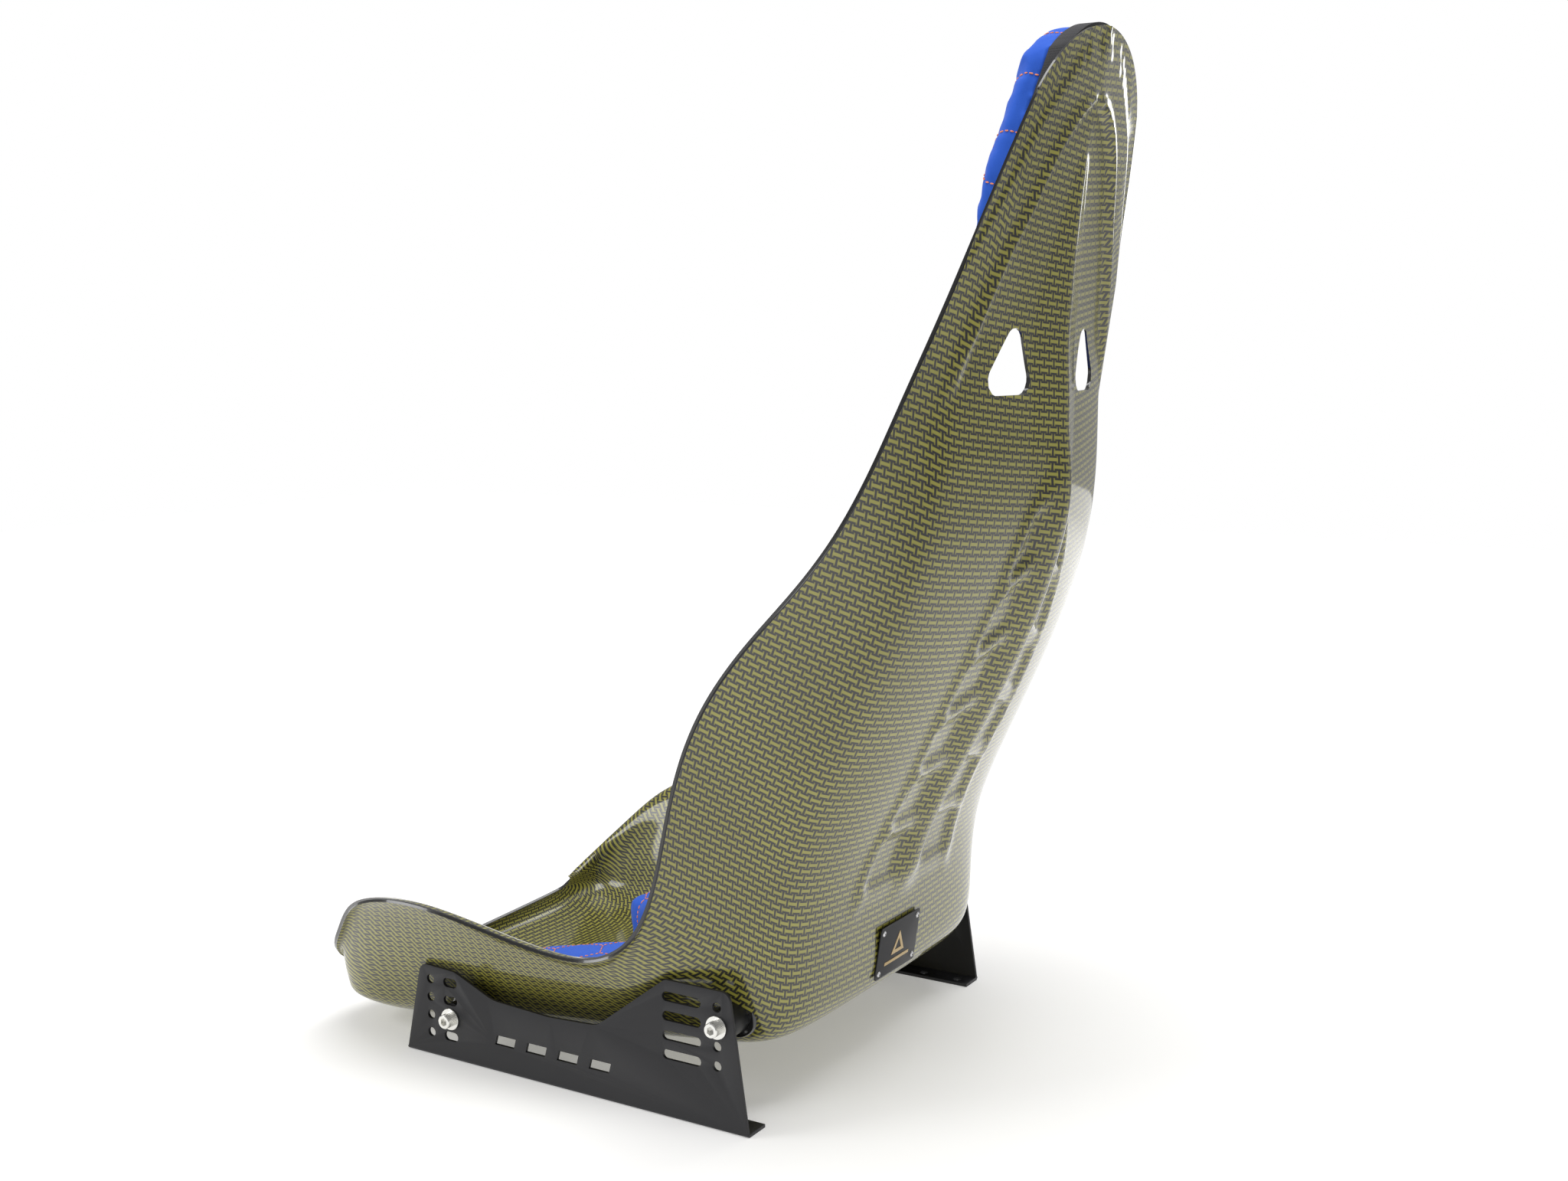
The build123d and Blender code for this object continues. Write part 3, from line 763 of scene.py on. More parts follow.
@dataclass(frozen=True)
class MouldedRelief:
    """Lines moulded into the back, in millimetres: frame, crest, spine and ribs."""

    leg_line: tuple = ((590, 156), (640, 136), (691, 112), (721, 97), (749, 79), (779, 64),
                       (797, 53), (817, 37), (830, 22), (842, 0))
    deepest: float = 2.4
    leg_foot: float = 625.0
    leg_top: float = 840.0
    leg_edge: float = 7.0
    leg_bead_gap: float = 5.0
    leg_step: float = 2.4
    leg_bead: float = 4.4
    crest_top: float = 800.0
    crest_rise: float = 6.5
    crest_foot: float = 520.0
    crest_growth: float = 120.0
    crest_widths: tuple[float, float] = (6.0, 38.0)
    band_line: tuple = ((700, 158), (736, 137), (762, 122), (777, 114), (800, 102), (824, 86),
                        (846, 66), (869, 43), (879, 24), (884, 0))
    band_step: float = 2.2
    band_foot: float = 715.0
    rail_line: tuple = ((165, 84), (174, 83), (259, 68), (335, 72), (406, 66), (466, 51),
                        (500, 36), (540, 10))
    cage_bottom: float = 168.0
    cage_top: float = 545.0
    rail_bead: float = 3.6
    cage_rise: float = 2.6
    pocket_depth: float = 5.0
    rib_pitch: float = 62.0
    rib_top: float = 480.0
    rib_slope: float = 0.75
    rib_slope_span: tuple[float, float] = (220.0, 480.0)
    rib_half_width: float = 9.0
    spine_half_width: float = 24.0
    spine_rise: float = 8.0

    @staticmethod
    def step(value: np.ndarray, width: float) -> np.ndarray:
        """Smooth 0 to 1 step where the value passes zero."""
        share = np.clip(value / width + 0.5, 0, 1)
        return share * share * (3 - 2 * share)

    def line(self, table: tuple, z: np.ndarray) -> np.ndarray:
        """Half-width at each height of a line given as (height, half-width) pairs."""
        heights, widths = zip(*table)
        return np.interp(z, heights, widths)

    def frame(self, x: np.ndarray, z: np.ndarray) -> np.ndarray:
        """The A-shaped step round the belt holes, with the crest between its legs.

        Args:
            x: distances from the centre line.
            z: heights.

        Returns:
            How far the skin stands proud.
        """
        leg = self.line(self.leg_line, z)
        inside = self.step(leg - x, self.leg_edge)
        reach = self.step(z - self.leg_foot, 70.0) * self.step(self.leg_top - z, 12.0)
        bead = self.leg_bead * np.exp(-(((x - leg - self.leg_bead_gap) / self.leg_edge) ** 2))
        return reach * (bead - self.leg_step * inside)

    def crest(self, x: np.ndarray, z: np.ndarray) -> np.ndarray:
        """The sharp centre line, from a point near the head down to the spine.

        Args:
            x: distances from the centre line.
            z: heights.

        Returns:
            How far the skin stands proud.
        """
        grow = np.clip((self.crest_top - z) / self.crest_growth, 0, 1)
        fade = self.step(z - self.crest_foot, 160.0)
        narrow, widening = self.crest_widths
        width = narrow + widening * grow
        return fade * grow ** 0.6 * self.crest_rise * np.clip(1 - x / width, 0, 1)

    def band(self, x: np.ndarray, z: np.ndarray) -> np.ndarray:
        """The flat border round the head."""
        inside = self.step(self.line(self.band_line, z) - x, 5.0)
        return self.band_step * (inside - 1) * self.step(z - self.band_foot, 50.0)

    def cage(self, x: np.ndarray, z: np.ndarray) -> np.ndarray:
        """The spine, the ribs and the rails on either side of them.

        Args:
            x: distances from the centre line.
            z: heights.

        Returns:
            How far the skin stands proud.
        """
        rail = self.line(self.rail_line, z)
        there = self.step(z - self.cage_bottom, 45.0) * self.step(self.cage_top - z, 90.0)
        inside = self.step(rail - x, 8.0)
        slope = self.rib_slope * np.interp(z, self.rib_slope_span, (0, 1))
        fall = self.rib_top - (z + slope * x)
        nearest = np.abs(fall - self.rib_pitch * np.round(fall / self.rib_pitch))
        pocket = self.step(nearest - self.rib_half_width, 12.0)
        pocket = pocket * self.step(x - self.spine_half_width, 8.0)
        bead = self.rail_bead * np.exp(-(((x - rail - 2.0) / 7.5) ** 2))
        reach = np.minimum(x / self.spine_half_width, 1.0)
        ridge = self.spine_rise * 0.5 * (1 + np.cos(math.pi * reach))
        raised = (self.cage_rise - self.pocket_depth * pocket) * inside
        return there * (bead + ridge + raised)

    def height(self, x: np.ndarray, z: np.ndarray) -> np.ndarray:
        """How far the skin stands proud, in metres, at places in metres.

        Args:
            x: places across, in metres.
            z: heights in metres.

        Returns:
            The relief in metres.
        """
        x, z = np.abs(x) / MM, z / MM
        total = self.frame(x, z) + self.crest(x, z) + self.band(x, z) + self.cage(x, z)
        return np.maximum(total, -self.deepest) * MM


def rounded(corners: Sequence[tuple[float, float]], radius: float, steps: int = 7) -> np.ndarray:
    """Rounds a convex outline's corners with arcs.

    Args:
        corners: the outline's corners in order.
        radius: the arcs' radius.
        steps: points on each arc.

    Returns:
        The outline's points.
    """
    points = []
    corners = np.asarray(corners, dtype=float)
    for k, corner in enumerate(corners):
        back = corners[k - 1] - corner
        ahead = corners[(k + 1) % len(corners)] - corner
        back, ahead = back / np.linalg.norm(back), ahead / np.linalg.norm(ahead)
        half = math.acos(np.clip(back @ ahead, -1, 1)) / 2
        bisector = (back + ahead) / np.linalg.norm(back + ahead)
        centre = corner + bisector * radius / math.sin(half)
        first = corner + back * radius / math.tan(half) - centre
        last = corner + ahead * radius / math.tan(half) - centre
        for share in np.linspace(0, 1, steps):
            arm = (1 - share) * first + share * last
            points.append(centre + arm * radius / np.linalg.norm(arm))
    return np.array(points)


@dataclass
class Shell:
    """The one-piece composite shell, with its holes and edge; its mounting bosses are built apart.
    """

    form: ShellForm = field(default_factory=ShellForm)
    relief: MouldedRelief = field(default_factory=MouldedRelief)
    thickness: float = 4.0 * MM
    rows: int = 381
    columns: int = 197
    edge_round: float = 1.1 * MM
    chart_row: float = 0.72
    belt_hole: tuple = ((0.042, 0.606), (0.120, 0.606), (0.068, 0.671))
    belt_corner: float = 12.0 * MM
    crotch_centre: float = -0.153
    crotch_half: tuple = (0.088, 0.039)
    crotch_corner: float = 30.0 * MM
    head_top: float = 0.897
    head_radius: float = 0.122
    head_start: float = 0.828
    head_reach: float = 0.25
    back_span: tuple[float, float] = (0.28, 0.42)
    floor_span: tuple[float, float] = (-0.02, 0.07)
    head_span: tuple[float, float] = (0.30, 0.50)
    relief_from: float = 0.45

    def chart(self, grid: np.ndarray, along: np.ndarray) -> np.ndarray:
        """Cloth coordinates: metres across from the centre line, and along from one row.

        Args:
            grid: the skin's points.
            along: each row's place along the shell.

        Returns:
            The two coordinates of each grid point.
        """
        across = np.linalg.norm(np.diff(grid, axis=1), axis=2)
        across = np.concatenate([np.zeros((len(grid), 1)), np.cumsum(across, axis=1)], axis=1)
        across -= across[:, [grid.shape[1] // 2]]
        down = np.linalg.norm(np.diff(grid, axis=0), axis=2)
        down = np.concatenate([np.zeros((1, grid.shape[1])), np.cumsum(down, axis=0)])
        down -= down[[int(np.argmin(np.abs(along - self.chart_row)))]]
        return np.stack([across, down], axis=2)

    def rim_of(self, count_rows: int, count_columns: int) -> list[tuple[int, int]]:
        """Grid places round the rim, in order.

        Args:
            count_rows: rows of the grid.
            count_columns: columns of the grid.

        Returns:
            Row and column of each rim point.
        """
        last_row, last = count_rows - 1, count_columns - 1
        return (
            [(0, k) for k in range(last)] + [(k, last) for k in range(last_row)]
            + [(last_row, k) for k in range(last, 0, -1)] + [(k, 0) for k in range(last_row, 0, -1)]
        )

    @staticmethod
    def quads(start: int, rows: int, columns: int) -> list[tuple[int, ...]]:
        """Faces of a grid of vertices numbered row by row from the start."""
        corners = [start + i * columns + j for i in range(rows - 1) for j in range(columns - 1)]
        return [(a, a + columns, a + columns + 1, a + 1) for a in corners]

    def skin_mesh(self) -> bpy.types.Object:
        """Builds the walls and the rim as one closed mesh with cloth coordinates.

        Returns:
            The shell before its holes are cut.
        """
        along = np.linspace(0, 1, self.rows)
        across = np.linspace(-1, 1, self.columns)
        grid = self.form.outer(along, across)
        inward = self.form.inward(along, across)
        chart = self.chart(grid, along)
        proud = self.relief.height(grid[..., 0], grid[..., 2])
        proud[along < self.relief_from] = 0
        outer = grid - inward * proud[..., None]
        inner = (grid + inward * self.thickness)[::2, ::2]
        rim = self.rim_of(self.rows, self.columns)
        centre = np.array([grid[i, j] for i, j in rim])
        normals = np.array([inward[i, j] for i, j in rim])
        tangent = np.roll(centre, -1, axis=0) - np.roll(centre, 1, axis=0)
        outward = np.cross(normals, tangent)
        outward /= np.linalg.norm(outward, axis=1, keepdims=True)
        middle = centre + normals * self.thickness / 2 + outward * self.edge_round
        points = np.concatenate([outer.reshape(-1, 3), inner.reshape(-1, 3), middle])
        coords = np.concatenate([
            chart.reshape(-1, 2), chart[::2, ::2].reshape(-1, 2), [chart[i, j] for i, j in rim]
        ])
        inner_start = self.rows * self.columns
        inner_rows, inner_columns = inner.shape[:2]
        middle_start = inner_start + inner_rows * inner_columns
        faces = self.quads(0, self.rows, self.columns)
        inner_faces = self.quads(inner_start, inner_rows, inner_columns)
        faces += [(a, d, c, b) for a, b, c, d in inner_faces]
        wall_count = len(faces)
        outer_ring = [i * self.columns + j for i, j in rim]
        inner_ring = [
            inner_start + i * inner_columns + j for i, j in self.rim_of(inner_rows, inner_columns)
        ]
        count = len(rim)
        for k in range(count):
            n = (k + 1) % count
            faces.append((outer_ring[k], outer_ring[n], middle_start + n, middle_start + k))
        for k in range(0, count, 2):
            a, b, c = (middle_start + (k + s) % count for s in range(3))
            r, s = inner_ring[k // 2], inner_ring[(k // 2 + 1) % len(inner_ring)]
            faces += [(a, b, r), (b, s, r), (b, c, s)]
        piece = object_from("composite_shell", points, faces)
        mesh = piece.data
        kinds = np.zeros(len(faces), np.int32)
        kinds[wall_count:] = 1
        mesh.polygons.foreach_set("material_index", kinds)
        layer = mesh.uv_layers.new(name="cloth")
        corners = np.zeros(len(mesh.loops), np.int32)
        mesh.loops.foreach_get("vertex_index", corners)
        layer.data.foreach_set("uv", coords[corners].astype(np.float32).ravel())
        return piece

    def cutter(self, outline: np.ndarray, upright: bool, low: float, high: float) -> tuple:
        """A prism for cutting.

        Args:
            outline: points in XZ if upright, else in XY.
            upright: True for a prism along Y, False for one along Z.
            low: its lower end.
            high: its upper end.

        Returns:
            Its points and faces.
        """
        count = len(outline)
        if upright:
            ends = [[(a, level, b) for a, b in outline] for level in (low, high)]
        else:
            ends = [[(a, b, level) for a, b in outline] for level in (low, high)]
        faces = [tuple(range(count)), tuple(range(2 * count - 1, count - 1, -1))]
        faces += [(k, count + k, count + (k + 1) % count, (k + 1) % count) for k in range(count)]
        return ends[0] + ends[1], faces

    def cutters(self) -> bpy.types.Object:
        """One object with every cutting prism, its normals outward.

        Returns:
            The cutting object.
        """
        prisms = []
        for side in Side:
            corners = [(side.value * x, z) for x, z in self.belt_hole]
            prisms.append(self.cutter(rounded(corners, self.belt_corner), True, *self.back_span))
        half_x, half_y = self.crotch_half
        slot = [(half_x, half_y), (-half_x, half_y), (-half_x, -half_y), (half_x, -half_y)]
        slot = [(x, y + self.crotch_centre) for x, y in slot]
        prisms.append(self.cutter(rounded(slot, self.crotch_corner), False, *self.floor_span))
        centre = self.head_top - self.head_radius
        start = math.asin((self.head_start - centre) / self.head_radius)
        turns = np.linspace(start, math.pi - start, 61)
        arc = [(self.head_radius * math.cos(t), centre + self.head_radius * math.sin(t))
               for t in turns]
        reach = self.head_reach
        box = [(-reach, self.head_start), (-reach, self.head_top + reach),
               (reach, self.head_top + reach), (reach, self.head_start)]
        prisms.append(self.cutter(np.array(arc + box), True, *self.head_span))
        points, faces = [], []
        for prism_points, prism_faces in prisms:
            start_at = len(points)
            points += list(prism_points)
            faces += [tuple(start_at + k for k in face) for face in prism_faces]
        tool = object_from("cutters", points, faces)
        with editing(tool) as shape:
            bmesh.ops.recalc_face_normals(shape, faces=shape.faces)
        for polygon in tool.data.polygons:
            polygon.material_index = 1
        return tool

    def build(self) -> None:
        """Builds the shell, cuts its holes and hands it over."""
        piece = self.skin_mesh()
        dress(piece, WEAVE, LAMINATE_EDGE)
        tool = self.cutters()
        dress(tool, WEAVE, LAMINATE_EDGE)
        cut = piece.modifiers.new("holes", "BOOLEAN")
        cut.object = tool
        cut.operation = "DIFFERENCE"
        cut.solver = "MANIFOLD"
        baked(piece)
        bpy.data.objects.remove(tool)
        shade(piece, 50.0)
        settle(piece, Body.FRAME, "woven_composite", "shell")


@dataclass
class Bosses:
    """The four moulded bosses that carry the threaded inserts."""

    radius: float = 19.0 * MM
    bore: float = 7.05 * MM
    edge: float = 3.0 * MM
    front_depth: float = 29.0 * MM
    rear_depth: float = 12.0 * MM

    def build(self) -> None:
        """Turns the bosses and hands them over as one piece."""
        whole = bmesh.new()
        mesh = bpy.data.meshes.new("one_boss")
        for end in ("front", "rear"):
            low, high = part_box(f"{end}_inserts")
            centre = (low + high) / 2
            length = self.length(end)
            for side in Side:
                profile = [
                    (self.bore, 0), (self.radius - self.edge, 0),
                    (self.radius - 0.3 * self.edge, -0.3 * self.edge),
                    (self.radius, -self.edge), (self.radius, -length + self.edge),
                    (self.radius - self.edge, -length), (self.bore, -length),
                ]
                shape = revolved(profile, 48)
                along_x(shape, side, Vector((side.value * high.x, centre.y, centre.z)))
                shape.to_mesh(mesh)
                whole.from_mesh(mesh)
                shape.free()
        bpy.data.meshes.remove(mesh)
        piece = object_of("mount_bosses", whole)
        dress(piece, LAMINATE_EDGE)
        shade(piece)
        settle(piece, Body.FRAME, "woven_composite")

    def length(self, end: str) -> float:
        """How far the boss reaches inwards from its outer face."""
        return self.front_depth if end == "front" else self.rear_depth


# ---------------------------------------------------------------- hardware
@dataclass
class TrimmedNode:
    """A CAD node redrawn with broken edges."""

    node: str
    finish: Finish
    slot: str
    edge: float = 0.4 * MM
    body: Body = Body.FRAME

    def build(self) -> None:
        """Copies the node's mesh, rounds its edges and hands it over."""
        source = bpy.data.objects[self.node]
        piece = new_object(f"{self.node}_trim", source.data.copy())
        with editing(piece) as shape:
            bmesh.ops.remove_doubles(shape, verts=shape.verts, dist=MERGE)
            bmesh.ops.dissolve_limit(
                shape, angle_limit=math.radians(0.5), verts=shape.verts, edges=shape.edges
            )
        bevel = piece.modifiers.new("broken_edge", "BEVEL")
        bevel.width = self.edge
        bevel.segments = 2
        bevel.limit_method = "ANGLE"
        bevel.angle_limit = math.radians(40)
        bevel.use_clamp_overlap = True
        baked(piece)
        dress(piece, self.finish)
        shade(piece, 30.0)
        settle(piece, self.body, self.slot, self.node)


class Scatter:
    """A Geometry Nodes tree that sets one shape at every point of a mesh."""

    def __init__(self, name: str) -> None:
        """Builds the tree: each shape's Z follows 'out' and its X follows 'along'."""
        self.tree = bpy.data.node_groups.new(name, "GeometryNodeTree")
        face = self.tree.interface
        face.new_socket("Geometry", in_out="INPUT", socket_type="NodeSocketGeometry")
        self.inputs = {}
        for label, kind in (
            ("Shape", "NodeSocketObject"), ("Length", "NodeSocketFloat"),
            ("Width", "NodeSocketFloat"), ("Finish", "NodeSocketMaterial"),
        ):
            self.inputs[label] = face.new_socket(label, in_out="INPUT", socket_type=kind).identifier
        face.new_socket("Geometry", in_out="OUTPUT", socket_type="NodeSocketGeometry")
        sheet = NodeSheet(self.tree)
        given = sheet.add("NodeGroupInput")
        shape = sheet.add("GeometryNodeObjectInfo", transform_space="ORIGINAL")
        sheet.feed(shape.inputs["Object"], given.outputs["Shape"])
        turn = sheet.add("FunctionNodeAxesToRotation", primary_axis="Z", secondary_axis="X")
        for label, socket in (("out", turn.inputs[0]), ("along", turn.inputs[1])):
            named = sheet.add("GeometryNodeInputNamedAttribute", data_type="FLOAT_VECTOR")
            named.inputs["Name"].default_value = label
            sheet.feed(socket, named.outputs["Attribute"])
        size = sheet.add("ShaderNodeCombineXYZ")
        sheet.feed(size.inputs[0], given.outputs["Length"])
        sheet.feed(size.inputs[1], given.outputs["Width"])
        sheet.feed(size.inputs[2], given.outputs["Width"])
        place = sheet.add("GeometryNodeInstanceOnPoints")
        sheet.feed(place.inputs["Points"], given.outputs["Geometry"])
        sheet.feed(place.inputs["Instance"], shape.outputs["Geometry"])
        sheet.feed(place.inputs["Rotation"], turn.outputs[0])
        sheet.feed(place.inputs["Scale"], size.outputs[0])
        real = sheet.add("GeometryNodeRealizeInstances")
        sheet.feed(real.inputs[0], place.outputs[0])
        paint = sheet.add("GeometryNodeSetMaterial")
        sheet.feed(paint.inputs["Geometry"], real.outputs[0])
        sheet.feed(paint.inputs["Material"], given.outputs["Finish"])
        result = sheet.add("NodeGroupOutput")
        sheet.feed(result.inputs[0], paint.outputs[0])

    def build(
        self, name: str, points: np.ndarray, out: np.ndarray, along: np.ndarray,
        shape: bpy.types.Object, finish: Finish, length: float = 1.0, width: float = 1.0,
    ) -> bpy.types.Object:
        """Sets the shape at each point and returns the plain mesh.

        Args:
            name: the piece's name.
            points: where the shapes go, in metres.
            out: each shape's Z direction.
            along: each shape's X direction.
            shape: the object to repeat, removed afterwards.
            finish: what the shapes are made of.
            length: scale along X.
            width: scale along Y and Z.

        Returns:
            The finished object.
        """
        piece = object_from(name, points, [])
        for label, values in (("out", out), ("along", along)):
            layer = piece.data.attributes.new(label, "FLOAT_VECTOR", "POINT")
            layer.data.foreach_set("vector", np.asarray(values, np.float32).ravel())
        scatter = piece.modifiers.new("scatter", "NODES")
        scatter.node_group = self.tree
        scatter[self.inputs["Shape"]] = shape
        scatter[self.inputs["Length"]] = length
        scatter[self.inputs["Width"]] = width
        scatter[self.inputs["Finish"]] = finish.material()
        baked(piece)
        bpy.data.objects.remove(shape)
        shade(piece)
        return piece


@dataclass
class SideFasteners:
    """Cap screws and washers that hold the shell between its brackets."""

    scatter: Scatter
    head_radius: float = 6.5 * MM
    head_height: float = 8.0 * MM
    shank_radius: float = 4.0 * MM
    socket_radius: float = 3.46 * MM
    socket_depth: float = 4.0 * MM
    thread_pitch: float = 1.25 * MM
    thread_depth: float = 0.45 * MM
    knurl_depth: float = 0.35 * MM
    insert_flange: float = 2.0 * MM
    knurls: int = 36
    washer_radius: float = 10.0 * MM
    washer_hole: float = 4.2 * MM
    washer_thickness: float = 2.0 * MM

    def screw(self, length: float) -> bpy.types.Object:
        """One cap screw along Z: knurled head above the origin, threaded shank below.

        Args:
            length: how far the shank reaches below the head.

        Returns:
            The screw.
        """
        top, edge = self.head_height, 0.7 * MM
        sides = 2 * self.knurls
        shape = bmesh.new()
        rings = []

        def ring(radius: float, height: float, knurl: float = 0.0, hexagon: bool = False) -> None:
            """Adds one ring of points, plain, knurled or hexagonal.

            Args:
                radius: its radius.
                height: its place along Z.
                knurl: how deep every second point is sunk.
                hexagon: True for a hexagon with that radius at its corners.
            """
            loop = []
            for k in range(sides):
                turn = 2 * math.pi * k / sides
                reach = radius - knurl * (k % 2)
                if hexagon:
                    wrap = (turn % (math.pi / 3)) - math.pi / 6
                    reach = radius * math.cos(math.pi / 6) / math.cos(wrap)
                loop.append(shape.verts.new(
                    (reach * math.cos(turn), reach * math.sin(turn), height)))
            rings.append(loop)

        ring(self.socket_radius, top - self.socket_depth, hexagon=True)
        ring(self.socket_radius, top - 0.3 * MM, hexagon=True)
        ring(self.socket_radius + 0.4 * MM, top, hexagon=True)
        ring(self.head_radius - edge, top)
        ring(self.head_radius, top - edge)
        ring(self.head_radius, top - edge - 0.3 * MM, self.knurl_depth)
        ring(self.head_radius, 1.0 * MM, self.knurl_depth)
        ring(self.head_radius - 0.3 * MM, 0.0)
        ring(self.shank_radius, 0.0)
        pitch = self.thread_pitch
        for k in range(int((length - 1.0 * MM) / pitch)):
            start = -0.6 * MM - k * pitch
            ring(self.shank_radius, start)
            ring(self.shank_radius - self.thread_depth, start - pitch / 2)
        ring(self.shank_radius - 0.7 * MM, -length)
        for low, high in zip(rings, rings[1:]):
            for k in range(sides):
                n = (k + 1) % sides
                shape.faces.new([low[k], low[n], high[n], high[k]])
        shape.faces.new(rings[0][::-1])
        shape.faces.new(rings[-1])
        bmesh.ops.recalc_face_normals(shape, faces=shape.faces)
        return object_of("screw", shape)

    def washer(self) -> bpy.types.Object:
        """One plain washer along Z, standing on the origin, with broken edges.

        Returns:
            The washer.
        """
        thick, edge = self.washer_thickness, 0.3 * MM
        profile = [
            (self.washer_hole, 0), (self.washer_radius - edge, 0), (self.washer_radius, edge),
            (self.washer_radius, thick - edge), (self.washer_radius - edge, thick),
            (self.washer_hole + edge, thick), (self.washer_hole, thick - edge),
        ]
        return object_of("washer", revolved(profile, 56))

    def build(self) -> None:
        """Sets the screws and washers of both ends and hands them over."""
        for end in ("front", "rear"):
            low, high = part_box(f"{end}_bolts")
            centre = (low + high) / 2
            under_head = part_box(f"{end}_washers")[1].x
            face = under_head - self.washer_thickness
            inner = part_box(f"{end}_inserts")[1].x - Bosses().length(end) - self.insert_flange
            signs = np.array([side.value for side in Side], float)
            out = np.stack([signs, 0 * signs, 0 * signs], axis=1)
            along = np.tile([0.0, 0.0, 1.0], (2, 1))
            for name, reach, shape, node, slot in (
                ("screws", under_head, self.screw(under_head - inner), "bolts", "bolt_zinc"),
                ("plain_washers", face, self.washer(), "washers", "bolt_zinc"),
            ):
                points = np.stack(
                    [signs * reach, 0 * signs + centre.y, 0 * signs + centre.z], axis=1)
                piece = self.scatter.build(f"{end}_{name}", points, out, along, shape, ZINC)
                settle(piece, Body.FRAME, slot, f"{end}_{node}")


@dataclass
class Badge:
    """The rivets of the small plate on the lower back, which carries a plain raised emblem."""

    scatter: Scatter
    rivet_radius: float = 2.6 * MM
    rivet_hole: float = 1.0 * MM
    rivet_height: float = 1.4 * MM

    def rivet(self) -> bpy.types.Object:
        """One domed blind rivet along Z, open at its middle.

        Returns:
            The rivet.
        """
        high, radius, hole = self.rivet_height, self.rivet_radius, self.rivet_hole
        dome = [
            (radius * math.cos(a), 0.2 * MM + (high - 0.2 * MM) * math.sin(a))
            for a in np.linspace(0, math.radians(62), 6)
        ]
        profile = [(hole, 0.0), (radius, 0.0), *dome, (hole, high * 0.92)]
        return object_of("rivet", revolved(profile, 24))

    def build(self) -> None:
        """Sets the four rivets from the corners of their CAD node, and hands them over."""
        places = places_of(bpy.data.objects["badge_rivets"].data)
        low, high = places.min(0), places.max(0)
        tilt = math.atan2(high[1] - low[1] - self.rivet_height, high[2] - low[2])
        out = np.array([0.0, math.cos(tilt), -math.sin(tilt)])
        points = []
        for upper in (0, 1):
            for side in Side:
                near = (np.sign(places[:, 0]) == side.value)
                middle = (low[2] + high[2]) / 2
                near &= (places[:, 2] > middle) == bool(upper)
                group = places[near]
                centre = (group.min(0) + group.max(0)) / 2
                points.append(centre - out * self.rivet_height / 2)
        count = len(points)
        piece = self.scatter.build(
            "blind_rivets", np.array(points), np.tile(out, (count, 1)),
            np.tile([1.0, 0.0, 0.0], (count, 1)), self.rivet(), RIVET_METAL,
        )
        settle(piece, Body.FRAME, "rivet_metal", "badge_rivets")


# ---------------------------------------------------------------- pads
@dataclass
class Quilt:
    """A honeycomb of sewn lines over a pad, laid out from above its face."""

    pitch: float = 46.0 * MM
    groove: float = 1.0 * MM
    groove_width: float = 4.0 * MM
    stitch_pitch: float = 4.6 * MM

    def centres(self, half_x: float, low: float, high: float) -> np.ndarray:
        """Cell centres over a field that wide and from low to high.

        Args:
            half_x: the field's half-width.
            low: its lower end.
            high: its upper end.

        Returns:
            The middle of each cell, one to a row.
        """
        rise = self.pitch * math.sqrt(3) / 2
        rows = range(-2, int((high - low) / rise) + 3)
        columns = range(-int(half_x / self.pitch) - 2, int(half_x / self.pitch) + 3)
        return np.array([
            ((c + 0.5 * (r % 2)) * self.pitch, low + r * rise) for r in rows for c in columns
        ])

    def nearness(self, spots: np.ndarray, centres: np.ndarray) -> np.ndarray:
        """Distance from each spot to the nearest line of the honeycomb.

        Args:
            spots: places on the face.
            centres: the middles of the cells.

        Returns:
            One distance to a spot.
        """
        gaps = np.linalg.norm(spots[:, None] - centres[None], axis=2)
        gaps.partition(1, axis=1)
        return (gaps[:, 1] - gaps[:, 0]) / 2

    def lines(self, centres: np.ndarray) -> list[tuple[np.ndarray, np.ndarray]]:
        """The honeycomb's edges as pairs of end points, each once.

        Args:
            centres: the middles of the cells.

        Returns:
            The edges.
        """
        radius = self.pitch / math.sqrt(3)
        seen, found = set(), []
        for centre in centres:
            turns = [math.radians(30 + 60 * k) for k in range(7)]
            ring = [centre + radius * np.array([math.cos(t), math.sin(t)]) for t in turns]
            for first, last in zip(ring, ring[1:]):
                key = tuple(np.round((first + last) * 1e4).astype(int))
                if key not in seen:
                    seen.add(key)
                    found.append((first, last))
        return found


